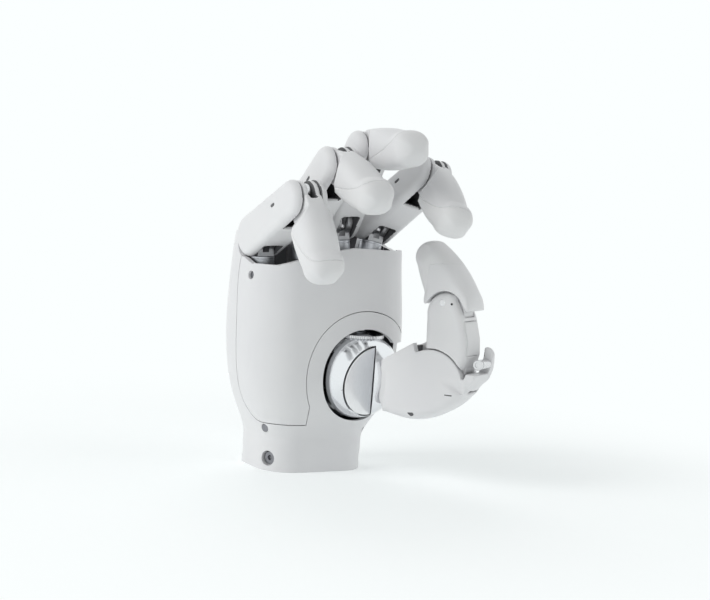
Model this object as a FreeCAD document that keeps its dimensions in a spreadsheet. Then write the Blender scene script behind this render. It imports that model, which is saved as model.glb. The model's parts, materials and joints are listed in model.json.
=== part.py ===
import FreeCAD, Part
import math
import os

# Right robot hand: palm faces -Y, fingers point up +Z, index and thumb on the +X side.
# The origin is the middle of the wrist face. Millimetres and degrees.

V = FreeCAD.Vector
Rotation = FreeCAD.Rotation
Placement = FreeCAD.Placement
X_AXIS = V(1, 0, 0)
Y_AXIS = V(0, 1, 0)
Z_AXIS = V(0, 0, 1)

os.makedirs("parts", exist_ok=True)
doc = FreeCAD.newDocument("robot_hand")
sheet = doc.addObject("Spreadsheet::Sheet", "Sizes")

sizes = {
    "shell_wall": 2.4,
    "seam_gap": 0.35,
    "collar_height": 14.7,
    "palm_top": 107.0,
    "side_screw_hole": 3.4,
    "finger_width": 17.0,
    "finger_edge": 3.2,
    "knuckle_radius": 9.3,
    "proximal_length": 43.0,
    "tip_centre": 32.5,
    "tip_radius": 8.2,
    "joint_radius": 8.0,
    "lug_width": 8.0,
    "lug_radius": 7.6,
    "side_play": 0.35,
    "slot_width": 3.2,
    "link_thick": 2.2,
    "link_bar": 2.6,
    "link_pin": 0.9,
    "pin_radius": 2.0,
    "pin_fit": 0.05,
    "press_gap": 0.01,
    "crank_ground": 4.2,
    "pip_ratio": 1.25,
    "middle_flex": 40.0,
    "full_flex": 84.0,
    "drive_radius": 6.0,
    "drive_length": 29.0,
    "frame_width": 50.0,
    "bar_width": 68.0,
    "bar_bottom": 84.0,
    "bar_top": 90.0,
    "opening_radius": 21.3,
    "ball_radius": 20.6,
    "ball_play": 0.5,
    "disc_plane": 12.1,
    "disc_radius": 16.0,
    "disc_groove": 0.7,
    "disc_depth": 3.6,
    "trunnion_radius": 4.0,
    "thumb_width": 18.0,
    "thumb_swell": 11.2,
    "metacarpal_swell": 12.0,
    "finger_swell": 10.6,
    "thumb_tongue": 9.6,
    "dome_radius": 15.8,
    "thumb_gap": 0.5,
    "flange_thick": 8.0,
    "bolt_hole": 1.25,
    "bolt_spread_x": 34.0,
    "bolt_spread_y": 22.0,
    "cable_bore": 6.0,
}
for row, (alias, value) in enumerate(sizes.items(), start=1):
    sheet.set("A%d" % row, alias)
    sheet.set("B%d" % row, repr(value))
    sheet.setAlias("B%d" % row, alias)
doc.recompute()


def size(alias):
    return float(sheet.get(alias))


wall = size("shell_wall")
gap = size("seam_gap")
finger_half = size("finger_width") / 2
crank_tip = size("crank_ground") / size("pip_ratio")

# The palm's outline at each height: z, half width, half depth, corner radius, centre x, centre y.
collar_section = (26.0, 20.0, 14.0, 0.0, 0.0)
palm_sections = [
    (size("collar_height"), 26.0, 20.0, 14.0, 0.0, 0.0),
    (24.0, 30.2, 22.0, 16.0, 1.0, 0.0),
    (30.0, 33.5, 23.1, 17.0, 1.6, -0.5),
    (37.0, 36.5, 24.0, 18.0, 2.0, -1.0),
    (52.0, 39.5, 25.0, 18.0, 2.5, -1.0),
    (72.0, 40.0, 25.0, 18.0, 2.0, -1.0),
    (98.0, 38.5, 23.0, 16.0, 1.5, -1.0),
    (size("palm_top"), 37.5, 21.0, 15.0, 1.5, 0.0),
]

# Each finger: knuckle place, sideways lean and the bend of its first joint in the rest pose.
fingers = {
    "little": ((-29.5, -2.7, 105.6), -3.0, 65.0),
    "ring": ((-9.9, -2.7, 111.6), -3.5, 50.0),
    "middle": ((9.1, -2.7, 114.6), -4.0, 40.0),
    "index": ((29.5, -2.7, 114.2), 12.0, 56.0),
}

# The thumb works in an upright plane through its turning axis. The sketches of its pieces use the
# distance from that axis and the height above the wrist face.
thumb_axis = V(16, -17, 0)
ball_centre = V(16, -17, 45)
thumb_plane = Placement(thumb_axis, Rotation(Z_AXIS, 210))
thumb_knuckle = (42.5, 45.5)
thumb_tip_joint = (47.0, 78.5)


def turned(point, angle):
    """Turns a side-view point (y, z) towards -Y by an angle in degrees."""
    a = math.radians(angle)
    y, z = point
    return (y * math.cos(a) - z * math.sin(a), y * math.sin(a) + z * math.cos(a))


def polar(centre, radius, angle):
    a = math.radians(angle)
    return (centre[0] + radius * math.cos(a), centre[1] + radius * math.sin(a))


def draw(sketch, loops):
    """Draws closed loops. A loop is a circle (centre, radius) or a start point and its steps: a
    point ends a line, and a pair of points is the middle and the end of an arc."""
    for loop in loops:
        if isinstance(loop, tuple):
            centre, radius = loop
            sketch.addGeometry(Part.Circle(V(centre[0], centre[1], 0), Z_AXIS, radius), False)
            continue
        here = V(loop[0][0], loop[0][1], 0)
        for step in loop[1:] + [loop[0]]:
            if isinstance(step[0], tuple):
                through = V(step[0][0], step[0][1], 0)
                end = V(step[1][0], step[1][1], 0)
                sketch.addGeometry(Part.Arc(here, through, end), False)
            else:
                end = V(step[0], step[1], 0)
                if (end - here).Length < 1e-6:
                    continue
                sketch.addGeometry(Part.LineSegment(here, end), False)
            here = end


def new_body(name):
    body = doc.addObject("PartDesign::Body", name)
    body.Label = name
    return body


def sketch_in(body, role, loops):
    sketch = body.newObject("Sketcher::SketchObject", body.Name + "_sketch")
    plane = [o for o in body.Origin.OriginFeatures if o.Role == role][0]
    sketch.AttachmentSupport = [(plane, "")]
    sketch.MapMode = "FlatFace"
    draw(sketch, loops)
    return sketch


def pad(body, loops, length, role="YZ_Plane", symmetric=True):
    feature = body.newObject("PartDesign::Pad", body.Name + "_pad")
    feature.Profile = sketch_in(body, role, loops)
    feature.SideType = "Symmetric" if symmetric else "One side"
    feature.setExpression("Length", length)
    doc.recompute()
    return feature


def pocket(body, loops, length, role="YZ_Plane"):
    before = body.Shape.Volume
    feature = body.newObject("PartDesign::Pocket", body.Name + "_pocket")
    feature.Profile = sketch_in(body, role, loops)
    feature.SideType = "Symmetric"
    feature.setExpression("Length", length)
    doc.recompute()
    if body.Shape.Volume >= before:
        raise ValueError(body.Name + " has a pocket that cuts nothing")
    return feature


def on_circle(centre, radius):
    return lambda y, z: abs(math.hypot(y - centre[0], z - centre[1]) - radius) < 1e-3


def round_sides(body, half_width, radius, sharp=None):
    """Rounds the edges of the two flat side faces, apart from those whose middle (y, z) the test
    named sharp picks out."""
    base = body.Tip
    names = []
    for number, edge in enumerate(base.Shape.Edges, start=1):
        box = edge.BoundBox
        if abs(abs(box.XMin) - half_width) > 1e-4 or box.XLength > 1e-4:
            continue
        middle = edge.valueAt((edge.FirstParameter + edge.LastParameter) / 2)
        if sharp and sharp(middle.y, middle.z):
            continue
        names.append("Edge%d" % number)
    feature = body.newObject("PartDesign::Fillet", body.Name + "_round")
    feature.Base = (base, names)
    feature.setExpression("Radius", radius)
    doc.recompute()
    if "Invalid" in feature.State:
        raise ValueError(body.Name + " has edges that can't be rounded")
    return feature


def rounded_section(name, z, half_x, half_y, radius, centre_x, centre_y):
    sketch = doc.addObject("Sketcher::SketchObject", name)
    sketch.Placement = Placement(V(centre_x, centre_y, z), Rotation())
    ix = half_x - radius
    iy = half_y - radius
    c = radius * math.sqrt(0.5)
    loop = [
        (-ix, -half_y),
        (ix, -half_y),
        ((ix + c, -iy - c), (half_x, -iy)),
        (half_x, iy),
        ((ix + c, iy + c), (ix, half_y)),
        (-ix, half_y),
        ((-ix - c, iy + c), (-half_x, iy)),
        (-half_x, -iy),
        ((-ix - c, -iy - c), (-ix, -half_y)),
    ]
    draw(sketch, [loop])
    return sketch


def loft(name, sections, inset):
    feature = doc.addObject("Part::Loft", name)
    feature.Sections = [
        rounded_section(name + "_section", z, hx - inset, hy - inset, r - inset, cx, cy)
        for z, hx, hy, r, cx, cy in sections
    ]
    feature.Solid = True
    feature.Ruled = len(sections) == 2
    return feature


def boolean(kind, name, base, tool):
    feature = doc.addObject("Part::" + kind, name)
    feature.Base = base
    feature.Tool = tool
    return feature


def fuse(name, pieces):
    feature = doc.addObject("Part::MultiFuse", name)
    feature.Shapes = pieces
    return feature


def common(name, pieces):
    feature = doc.addObject("Part::MultiCommon", name)
    feature.Shapes = pieces
    return feature


def box(name, corner, lengths):
    feature = doc.addObject("Part::Box", name)
    feature.Length, feature.Width, feature.Height = lengths
    feature.Placement = Placement(V(*corner), Rotation())
    return feature


def cylinder(name, start, direction, length, radius):
    """A cylinder from a start point. The radius is an expression on the sheet or a number."""
    feature = doc.addObject("Part::Cylinder", name)
    if isinstance(radius, str):
        feature.setExpression("Radius", radius)
    else:
        feature.Radius = radius
    feature.Height = length
    feature.Placement = Placement(V(*start), Rotation(Z_AXIS, V(*direction)))
    return feature


def sphere(name, centre, radius):
    feature = doc.addObject("Part::Sphere", name)
    if isinstance(radius, str):
        feature.setExpression("Radius", radius)
    else:
        feature.Radius = radius
    feature.Placement = Placement(centre, Rotation())
    return feature


def prism(name, loop, place, low, high):
    """A side-view outline (y, z) extruded along local X from low to high."""
    sketch = doc.addObject("Sketcher::SketchObject", name + "_sketch")
    sketch.Placement = place.multiply(Placement(V(low, 0, 0), Rotation(V(1, 1, 1), 120)))
    draw(sketch, [loop])
    feature = doc.addObject("Part::Extrusion", name)
    feature.Base = sketch
    feature.DirMode = "Normal"
    feature.LengthFwd = high - low
    feature.Solid = True
    return feature


def swollen(name, body, place, centre, radii):
    """Takes the edges off a piece with an ellipsoid, so that its sides swell gently. The radii are
    an expression for the half width, then the reach along Y and the height along Z."""
    swell = doc.addObject("Part::Ellipsoid", name + "_swell")
    swell.setExpression("Radius2", radii[0])
    swell.Radius3 = radii[1]
    swell.Radius1 = radii[2]
    swell.Placement = place.multiply(Placement(V(0, centre[0], centre[1]), Rotation()))
    return common(name, [body, swell])


def toward(azimuth, elevation=0.0):
    """Azimuth 0 points to -Y, out of the palm, and 90 to +X."""
    a = math.radians(azimuth)
    e = math.radians(elevation)
    return V(math.sin(a) * math.cos(e), -math.cos(a) * math.cos(e), math.sin(e))


def shell_point(z, azimuth):
    """A point on the rounded corners of the shell's outside, by height and azimuth."""
    table = [(0.0,) + collar_section] + palm_sections
    low, high = [(a, b) for a, b in zip(table, table[1:]) if a[0] <= z <= b[0]][-1]
    share = (z - low[0]) / (high[0] - low[0])
    hx, hy, r, cx, cy = [a + (b - a) * share for a, b in zip(low[1:], high[1:])]
    side = math.copysign(1.0, azimuth)
    corner = V(cx + side * (hx - r), cy - (hy - r), z)
    return corner + toward(azimuth) * r


nodes = {}


def keep(name, feature):
    feature.Label = name
    nodes[name] = feature
    return feature


# Palm shell: a straight collar and a smooth swelling palm, hollow, open at the top.
collar_pair = [(0.0,) + collar_section, (size("collar_height"),) + collar_section]
collar_inner = [(-1.0,) + collar_section, (size("collar_height"),) + collar_section]
top_lift = size("palm_top") + 1.0
inner_sections = palm_sections[:-1] + [(top_lift,) + palm_sections[-1][1:]]
outer = fuse("palm_outer", [loft("collar_out", collar_pair, 0.0), loft("palm_out", palm_sections, 0.0)])
inner = fuse("palm_inner", [loft("collar_in", collar_inner, wall), loft("palm_in", inner_sections, wall)])
shell = boolean("Cut", "palm_shell", outer, inner)

# The rim is lower on the palm side, so that the fingers can fold over it.
rim_drop = 11.9
rim_heights = [(place[0], place[2] - rim_drop) for place, lean, bend in fingers.values()]
rim_loop = [(-60.0, rim_heights[0][1] - 0.6)]
rim_loop += rim_heights
rim_loop += [(60.0, rim_heights[-1][1]), (60.0, 140.0), (-60.0, 140.0)]
rim_sketch = doc.addObject("Sketcher::SketchObject", "rim_sketch")
rim_sketch.Placement = Placement(V(0, -60, 0), Rotation(X_AXIS, 90))
draw(rim_sketch, [rim_loop])
rim_front = doc.addObject("Part::Extrusion", "rim_front")
rim_front.Base = rim_sketch
rim_front.Dir = V(0, 1, 0)
rim_front.DirMode = "Custom"
rim_front.LengthFwd = 50.0
rim_front.Solid = True

def side_scoop(knuckle_z, low):
    """A side-view cut that lets the rounded root of an outer finger turn beside the side wall."""
    y = fingers["little"][0][1]
    clear = size("knuckle_radius") + 0.6
    middle = turned((0.0, -clear), 45.0)
    return [
        (-12.0, low - 0.6),
        (y, knuckle_z - clear),
        ((y + middle[0], knuckle_z + middle[1]), (y + clear, knuckle_z)),
        (y + clear, 140.0),
        (-12.0, 140.0),
    ]


here = Placement()
little_z = fingers["little"][0][2]
index_z = fingers["index"][0][2] - finger_half * math.sin(math.radians(fingers["index"][1]))
rim_left = prism("rim_left", side_scoop(little_z, rim_heights[0][1]), here, -60.0, -28.0)
rim_right = prism("rim_right", side_scoop(index_z, index_z - rim_drop), here, 30.0, 60.0)

# Round opening in front of the thumb ball, and the slot round the side that the thumb sweeps.
opening_normal = toward(10.0)
opening_middle = V(15.5, -23.0, 45.0)
opening_start = opening_middle - opening_normal * 10.0
opening = cylinder("opening", opening_start, opening_normal, 30.0, "Sizes.opening_radius")
sweep_low = 28.3
sweep_high = 60.0
sweep = cylinder("thumb_sweep", thumb_axis + V(0, 0, sweep_low), (0, 0, 1), sweep_high - sweep_low, 46.0)
sweep.Angle = 60.0
sweep.Placement = Placement(thumb_axis + V(0, 0, sweep_low), Rotation(Z_AXIS, -46.0))

# Screw and locating holes in the shell.
wrist_screw_height = 5.8
wrist_spot = shell_point(wrist_screw_height, 61.0)
wrist_aim = toward(61.0)
wrist_screws = []
for sx in (-1, 1):
    for sy in (-1, 1):
        place = V(sx * wrist_spot.x, sy * wrist_spot.y, wrist_screw_height)
        wrist_screws.append((place, V(sx * wrist_aim.x, sy * wrist_aim.y, 0)))
side_holes = [cylinder("side_hole", place - aim * 8.0, aim, 16.0, "Sizes.side_screw_hole")
              for place, aim in wrist_screws]
lower_screw_aim = toward(-67.0)
lower_screw_place = shell_point(19.5, -67.0)
lower_screw_start = lower_screw_place - lower_screw_aim * 4
lower_screw_hole = cylinder("lower_screw_hole", lower_screw_start, lower_screw_aim, 9.0, 1.9)
upper_screw_aim = toward(-79.0)
upper_screw_place = shell_point(88.3, -79.0)
upper_screw_start = upper_screw_place - upper_screw_aim * 4
upper_screw_hole = cylinder("upper_screw_hole", upper_screw_start, upper_screw_aim, 9.0, 1.9)
small_hole_aim = toward(40.0)
small_hole_start = shell_point(19.0, 40.0) - small_hole_aim * 6
small_hole = cylinder("small_hole", small_hole_start, small_hole_aim, 12.0, 1.2)

ball_room = sphere("ball_room", ball_centre, "Sizes.ball_radius + Sizes.ball_play")
cuts = [rim_front, rim_left, rim_right, opening, sweep, ball_room]
cuts += side_holes + [lower_screw_hole, upper_screw_hole, small_hole]
open_shell = boolean("Cut", "open_shell", shell, fuse("shell_cuts", cuts))

# The cover is the smooth front panel beside the thumb opening.
cover_low = 22.0
cover_edge = -10.3
arc_radius = 29.5


def cover_region(name, grow):
    """The front part of the shell that the cover takes, grown by half the seam."""
    block = box(name + "_block", (-60, -60, cover_low - grow), (120, 60 + grow, 130))
    corner = doc.addObject("Part::Fillet", name + "_corner")
    corner.Base = block
    doc.recompute()
    picked = []
    for number, edge in enumerate(block.Shape.Edges, start=1):
        b = edge.BoundBox
        if b.XLength > 100 and abs(b.YMax - grow) < 1e-4 and abs(b.ZMax - cover_low + grow) < 1e-4:
            picked.append((number, 12.0, 12.0))
    corner.Edges = picked
    disc = cylinder(name + "_disc", (15.5, -70, 45), (0, 1, 0), 80.0, arc_radius - grow)
    lower = box(name + "_lower", (cover_edge + grow, -70, 0), (80, 80, 45))
    right = box(name + "_right", (32 + grow, -70, 0), (60, 80, 64 - grow))
    return boolean("Cut", name, corner, fuse(name + "_away", [disc, lower, right]))


cover_big = cover_region("cover_big", gap / 2)
cover_small = cover_region("cover_small", -gap / 2)
keep("palm_housing", boolean("Cut", "palm_housing", open_shell, cover_big))
keep("palm_cover", boolean("Common", "palm_cover", open_shell, cover_small))

# Wrist flange: a plug inside the collar with four threaded holes and a cable bore.
flange_play = 0.1
flange_pair = [(0.0,) + collar_section, (size("flange_thick"),) + collar_section]
flange_plug = loft("flange_plug", flange_pair, wall + flange_play)
flange_cuts = [cylinder("cable_bore", (0, 0, -1), (0, 0, 1), 20.0, "Sizes.cable_bore")]
for sx in (-1, 1):
    for sy in (-1, 1):
        spot = (sx * size("bolt_spread_x") / 2, sy * size("bolt_spread_y") / 2, -1)
        flange_cuts.append(cylinder("bolt", spot, (0, 0, 1), 20.0, "Sizes.bolt_hole"))
side_bore = size("side_screw_hole") - 2.15
for place, aim in wrist_screws:
    flange_cuts.append(cylinder("side_bore", place - aim * 9.0, aim, 12.0, side_bore))
keep("wrist_flange", boolean("Cut", "wrist_flange", flange_plug, fuse("flange_cuts", flange_cuts)))


# Fingers. Every piece is drawn in its own frame: the joint at the origin, the bone along +Z, the
# gripping side at -Y and the hinge along X.
def finger_base(name):
    place, lean, bend = fingers[name]
    return Placement(V(*place), Rotation(Y_AXIS, lean))


def finger_first(name):
    return finger_base(name).multiply(Placement(V(), Rotation(X_AXIS, fingers[name][2])))


def finger_second(name):
    bend = fingers[name][2] * size("pip_ratio")
    step = Placement(V(0, 0, size("proximal_length")), Rotation(X_AXIS, bend))
    return finger_first(name).multiply(step)


def ground_pin():
    return turned((-size("crank_ground"), 0.0), size("middle_flex"))


def tip_pin():
    return turned((crank_tip, 0.0), -size("middle_flex") * size("pip_ratio"))


def link_line(bend):
    """The link's length and its lean in the finger's base frame at a bend of the first joint."""
    reach = turned((0.0, size("proximal_length")), bend)
    crank = turned(tip_pin(), bend * (1 + size("pip_ratio")))
    dy = reach[0] + crank[0] - ground_pin()[0]
    dz = reach[1] + crank[1] - ground_pin()[1]
    return math.hypot(dy, dz), math.degrees(math.atan2(-dy, dz))


samples = [link_line(size("full_flex") * i / 20) for i in range(21)]
link_ratio = (samples[-1][1] - samples[0][1]) / size("full_flex")
strays = [lean - link_ratio * size("full_flex") * i / 20 for i, (length, lean) in enumerate(samples)]
link_lean = (max(strays) + min(strays)) / 2
link_length = (max(s[0] for s in samples) + min(s[0] for s in samples)) / 2
stray = math.radians((max(strays) - min(strays)) / 2) * link_length
print("link follows the first joint by %.4f, length %.3f, stray %.2f" % (link_ratio, link_length, stray))


def proximal(name):
    body = new_body(name)
    r = size("knuckle_radius")
    t = size("joint_radius")
    reach = size("proximal_length")
    slant = math.degrees(math.asin((r - t) / reach))
    start = polar((0, 0), r, 180 - slant)
    back_low = polar((0, 0), r, slant)
    back_high = polar((0, reach), t, slant)
    front_high = polar((0, reach), t, 180 - slant)
    outline = [start, ((0, -r), back_low), back_high, ((0, reach + t), front_high)]
    pad(body, [outline], "Sizes.finger_width")
    round_sides(body, finger_half, "Sizes.finger_edge")
    clear = size("lug_radius") + 0.6
    turn = size("joint_radius") + 0.5
    roof = 5.9
    floor = -6.4
    stem = 6.0
    root_back = (stem, -math.sqrt(clear ** 2 - stem ** 2))
    root_top = (roof, math.sqrt(clear ** 2 - roof ** 2))
    neck = (roof, reach - math.sqrt(turn ** 2 - roof ** 2))
    hollow = [
        (-20.0, -14.0),
        (stem, -14.0),
        root_back,
        ((clear, 0.0), root_top),
        neck,
        (polar((0, reach), turn, -22), (turn, reach)),
        (20.0, reach),
        (20.0, reach + 20),
        (-20.0, reach + 20),
        (-20.0, 26.0),
        (floor, 28.5),
        (floor, 9.8),
        (-20.0, 9.8),
    ]
    pocket(body, [hollow], "Sizes.lug_width + 2 * Sizes.side_play")
    pocket(body, [((0, 0), size("pin_radius") + size("pin_fit"))], "Sizes.finger_width")
    pocket(body, [((0, reach), size("pin_radius") + size("press_gap"))], "Sizes.finger_width")
    return body


def distal_blank(name):
    body = new_body(name)
    turn = size("joint_radius") + 0.5
    top = size("tip_centre")
    limit = size("full_flex") * size("pip_ratio")
    seat = polar((0, 0), turn, 180 - limit)
    front_low = (-8.8, seat[1] + (seat[0] + 8.8) * math.tan(math.radians(limit - 90 + 2.5)))
    back_low = polar((0, 0), turn, 20.0)
    back_high = (7.3, top - 3.0)
    front_high = (-7.6, top - 1.0)
    tip = (0.6, top + size("tip_radius"))
    outline = [
        seat,
        (polar((0, 0), turn, 50.0), back_low),
        ((9.1, top * 0.45), back_high),
        (tip, front_high),
        ((-9.2, top * 0.6), front_low),
    ]
    pad(body, [outline], "Sizes.finger_width")
    r = size("lug_radius")
    neck = [polar((0, 0), r, 165), ((0, -r), polar((0, 0), r, 15)), (6.6, 13.0), (-6.6, 13.0)]
    pad(body, [neck], "Sizes.lug_width")
    pocket(body, [[(-20, -20), (20, -20), (20, 4.6), (-20, 4.6)]], "Sizes.slot_width")
    pocket(body, [((0, 0), size("pin_radius") + size("pin_fit"))], "Sizes.finger_width")
    pocket(body, [(tip_pin(), size("link_pin") + size("press_gap"))], "Sizes.lug_width + 2")
    return body


def front_view(name, place, loop, depth):
    """An outline seen from the palm side (x, z), extruded both ways along local Y."""
    sketch = doc.addObject("Sketcher::SketchObject", name + "_sketch")
    sketch.Placement = place.multiply(Placement(V(0, depth, 0), Rotation(X_AXIS, 90)))
    draw(sketch, [loop])
    feature = doc.addObject("Part::Extrusion", name)
    feature.Base = sketch
    feature.DirMode = "Normal"
    feature.LengthFwd = 2 * depth
    feature.Solid = True
    return feature


def distal_front(name, place):
    """The last bone's front view: a neck, sloping shoulders, straight sides and a round end."""
    neck = size("lug_width") / 2 + 0.05
    shoulder = size("joint_radius") + 0.4
    side = size("finger_width") / 2 - 0.2
    top = size("tip_centre")
    end = top + size("tip_radius") + 0.3
    rise = top - 0.5
    loop = [
        (-neck, -12.0),
        (neck, -12.0),
        (neck, shoulder),
        (side, shoulder + 5.2),
        (side, rise),
        ((0.0, end), (-side, rise)),
        (-side, shoulder + 5.2),
        (-neck, shoulder),
    ]
    return front_view(name, place, loop, 20.0)


def pad_region(name, place):
    """The part of the last bone that is the soft fingertip: the gripping face and the whole tip."""
    top = size("tip_centre")
    loop = [(-30, 13.4), (-4.6, 13.4), ((-2.4, 20.0), (0.0, top - 6.5)), (9.0, top - 1.0), (30.0, top - 1.0)]
    loop += [(30, 60), (-30, 60)]
    return prism(name, loop, place, -finger_half - 1, finger_half + 1)


def pins(name, place, half_outer, half_inner, radius):
    """A pair of short pins, one on each side of the slot."""
    right = cylinder(name + "_right", (half_inner, 0, 0), (1, 0, 0), half_outer - half_inner, radius)
    left = cylinder(name + "_left", (-half_outer, 0, 0), (1, 0, 0), half_outer - half_inner, radius)
    right.Placement = place.multiply(right.Placement)
    left.Placement = place.multiply(left.Placement)
    return [right, left]


def link(name):
    """A flat coupling link: an eye that fits the ground pin and a wide eye round the crank pin."""
    body = new_body(name)
    bar = size("link_bar") / 2
    low = 2.2
    high = size("link_pin") + stray + 1.35
    play = size("link_pin") + stray + 0.35
    rise_low = math.sqrt(low ** 2 - bar ** 2)
    rise_high = link_length - math.sqrt(high ** 2 - bar ** 2)
    outline = [
        (-bar, rise_low),
        ((0, -low), (bar, rise_low)),
        (bar, rise_high),
        ((0, link_length + high), (-bar, rise_high)),
    ]
    eye = ((0.0, 0.0), size("link_pin") + size("pin_fit"))
    loose = ((0.0, link_length), play)
    pad(body, [outline, eye, loose], "Sizes.link_thick")
    return body


slot_half = size("slot_width") / 2
lug_half = size("lug_width") / 2
frame_pieces = []
knuckle_pin_pieces = []
for name in fingers:
    base = finger_base(name)
    first = finger_first(name)
    second = finger_second(name)

    bone = proximal(name + "_bone")
    bone.Placement = first
    marks = []
    for side in (-1, 1):
        mark = box(name + "_mark", (-0.6 + side * finger_half, 1.6, 28.5), (1.2, 1.2, 3.6))
        mark.Placement = first.multiply(mark.Placement)
        marks.append(mark)
    keep(name + "_proximal", boolean("Cut", name + "_proximal", bone, fuse(name + "_marks", marks)))

    blank = distal_blank(name + "_distal_blank")
    blank.Placement = second
    shaped = common(name + "_distal_shape", [blank, distal_front(name + "_distal_front", second)])
    soft = swollen(name + "_distal_round", shaped, second, (0.0, 16.0), ("Sizes.finger_swell", 12.2, 37.0))
    region = pad_region(name + "_pad_region", second)
    keep(name + "_distal", boolean("Cut", name + "_distal", soft, region))
    keep(name + "_fingertip", boolean("Common", name + "_fingertip", soft, region))

    pin_set = pins(name + "_pip", first.multiply(Placement(V(0, 0, size("proximal_length")), Rotation())),
                   finger_half - 0.6, slot_half + 0.2, "Sizes.pin_radius")
    keep(name + "_pip_pins", fuse(name + "_pip_pins", pin_set))
    crank_pin = cylinder(name + "_crank_pin", (-lug_half, tip_pin()[0], tip_pin()[1]), (1, 0, 0),
                         2 * lug_half, "Sizes.link_pin")
    crank_pin.Placement = second.multiply(crank_pin.Placement)
    keep(name + "_crank_pin", crank_pin)

    rod = link(name + "_link")
    lean = link_lean + link_ratio * fingers[name][2]
    rod.Placement = base.multiply(Placement(V(0, ground_pin()[0], ground_pin()[1]), Rotation(X_AXIS, lean)))
    keep(name + "_link", rod)

    lug = new_body(name + "_lug")
    stem = 5.0
    depth = fingers[name][0][2] - (size("bar_bottom") + size("bar_top")) / 2
    shoulder = -math.sqrt(size("lug_radius") ** 2 - stem ** 2)
    outline = [(-stem, -depth), (-stem, shoulder), ((0, size("lug_radius")), (stem, shoulder)), (stem, -depth)]
    pad(lug, [outline], "Sizes.lug_width")
    pocket(lug, [[(-20, -7.2), (20, -7.2), (20, 20), (-20, 20)]], "Sizes.slot_width")
    pocket(lug, [((0, 0), size("pin_radius") + size("press_gap"))], "Sizes.lug_width + 2")
    lug.Placement = base
    anchor = cylinder(name + "_anchor", (-lug_half, ground_pin()[0], ground_pin()[1]), (1, 0, 0),
                      2 * lug_half, "Sizes.link_pin")
    anchor.Placement = base.multiply(anchor.Placement)
    frame_pieces += [lug, anchor]
    knuckle_pin_pieces += pins(name + "_mcp", base, finger_half - 0.6, slot_half + 0.2, "Sizes.pin_radius")

# Palm frame: an angle bracket that carries the knuckles, the drives and the thumb bearing.
bracket = new_body("bracket")
bar_front = -8.5
bar_back = 10.0
plate_front = 15.4
plate_back = 18.0
plate_low = 36.0
profile = [
    (bar_front, size("bar_bottom")),
    (plate_front, size("bar_bottom")),
    (plate_front, plate_low),
    (plate_back, plate_low),
    (plate_back, size("bar_top")),
    (bar_front, size("bar_top")),
]
pad(bracket, [profile], "Sizes.frame_width")
ends = [
    (bar_front, size("bar_bottom")),
    (bar_back, size("bar_bottom")),
    (bar_back, size("bar_top")),
    (bar_front, size("bar_top")),
]
pad(bracket, [ends], "Sizes.bar_width")
bracket.Placement = Placement(V(1.0, 0, 0), Rotation())
frame_pieces.append(bracket)
keep("palm_frame", fuse("palm_frame", frame_pieces))
keep("knuckle_pins", fuse("knuckle_pins", knuckle_pin_pieces))

# Drives hang under the knuckle bar, one behind each finger.
drive_y = 8.6
for name in fingers:
    x = fingers[name][0][0] * 0.86 + 2.0
    low = size("bar_bottom") - size("drive_length")
    can = cylinder(name + "_can", (x, drive_y, low), (0, 0, 1), size("drive_length"), "Sizes.drive_radius")
    tail = cylinder(name + "_tail", (x, drive_y, low - 3.0), (0, 0, 1), 4.0, 3.2)
    keep(name + "_drive", fuse(name + "_drive", [can, tail]))

board_thick = 1.6
board = box("control_board", (-22, plate_front - 0.2 - board_thick - 2.0, 37), (22, board_thick, 14))
standoffs = [cylinder("standoff", (x, plate_front - 2.3, z), (0, 1, 0), 2.3, 1.6)
             for x in (-19, -3) for z in (40, 48)]
keep("control_board", fuse("control_board", [board] + standoffs))
frame_feet = [cylinder("foot", (x, plate_back, z), (0, 1, 0), 6.0, 3.0)
              for x, z in ((-15, 86), (18, 86), (-12, 41), (16, 41))]
keep("frame_feet", common("frame_feet", [fuse("feet_long", frame_feet), inner]))

# Thumb bearing: an arm from the frame that reaches over the ball and holds its trunnion.
arm_low = 67.5
arm_high = 74.0
arm_sketch = doc.addObject("Sketcher::SketchObject", "arm_sketch")
arm_sketch.Placement = Placement(V(0, 0, arm_low), Rotation())
arm_half = 2.6
arm_x = thumb_axis.x + 2.6
boss = 6.2
meet = -17 + math.sqrt(boss ** 2 - (arm_x + arm_half - thumb_axis.x) ** 2)
meet_left = -17 + math.sqrt(boss ** 2 - (arm_x - arm_half - thumb_axis.x) ** 2)
arm_loop = [
    (arm_x + arm_half, plate_front),
    (arm_x - arm_half, plate_front),
    (arm_x - arm_half, meet_left),
    ((thumb_axis.x, thumb_axis.y - boss), (arm_x + arm_half, meet)),
]
draw(arm_sketch, [arm_loop, ((thumb_axis.x, thumb_axis.y), size("trunnion_radius") + size("pin_fit"))])
arm = doc.addObject("Part::Extrusion", "thumb_bearing_arm")
arm.Base = arm_sketch
arm.Dir = V(0, 0, 1)
arm.DirMode = "Custom"
arm.LengthFwd = arm_high - arm_low
arm.Solid = True
keep("thumb_bearing_arm", arm)
keep("thumb_turn_drive", cylinder("thumb_turn_drive", thumb_axis + V(0, 0, arm_high), (0, 0, 1), 16.0, 4.6))

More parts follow.
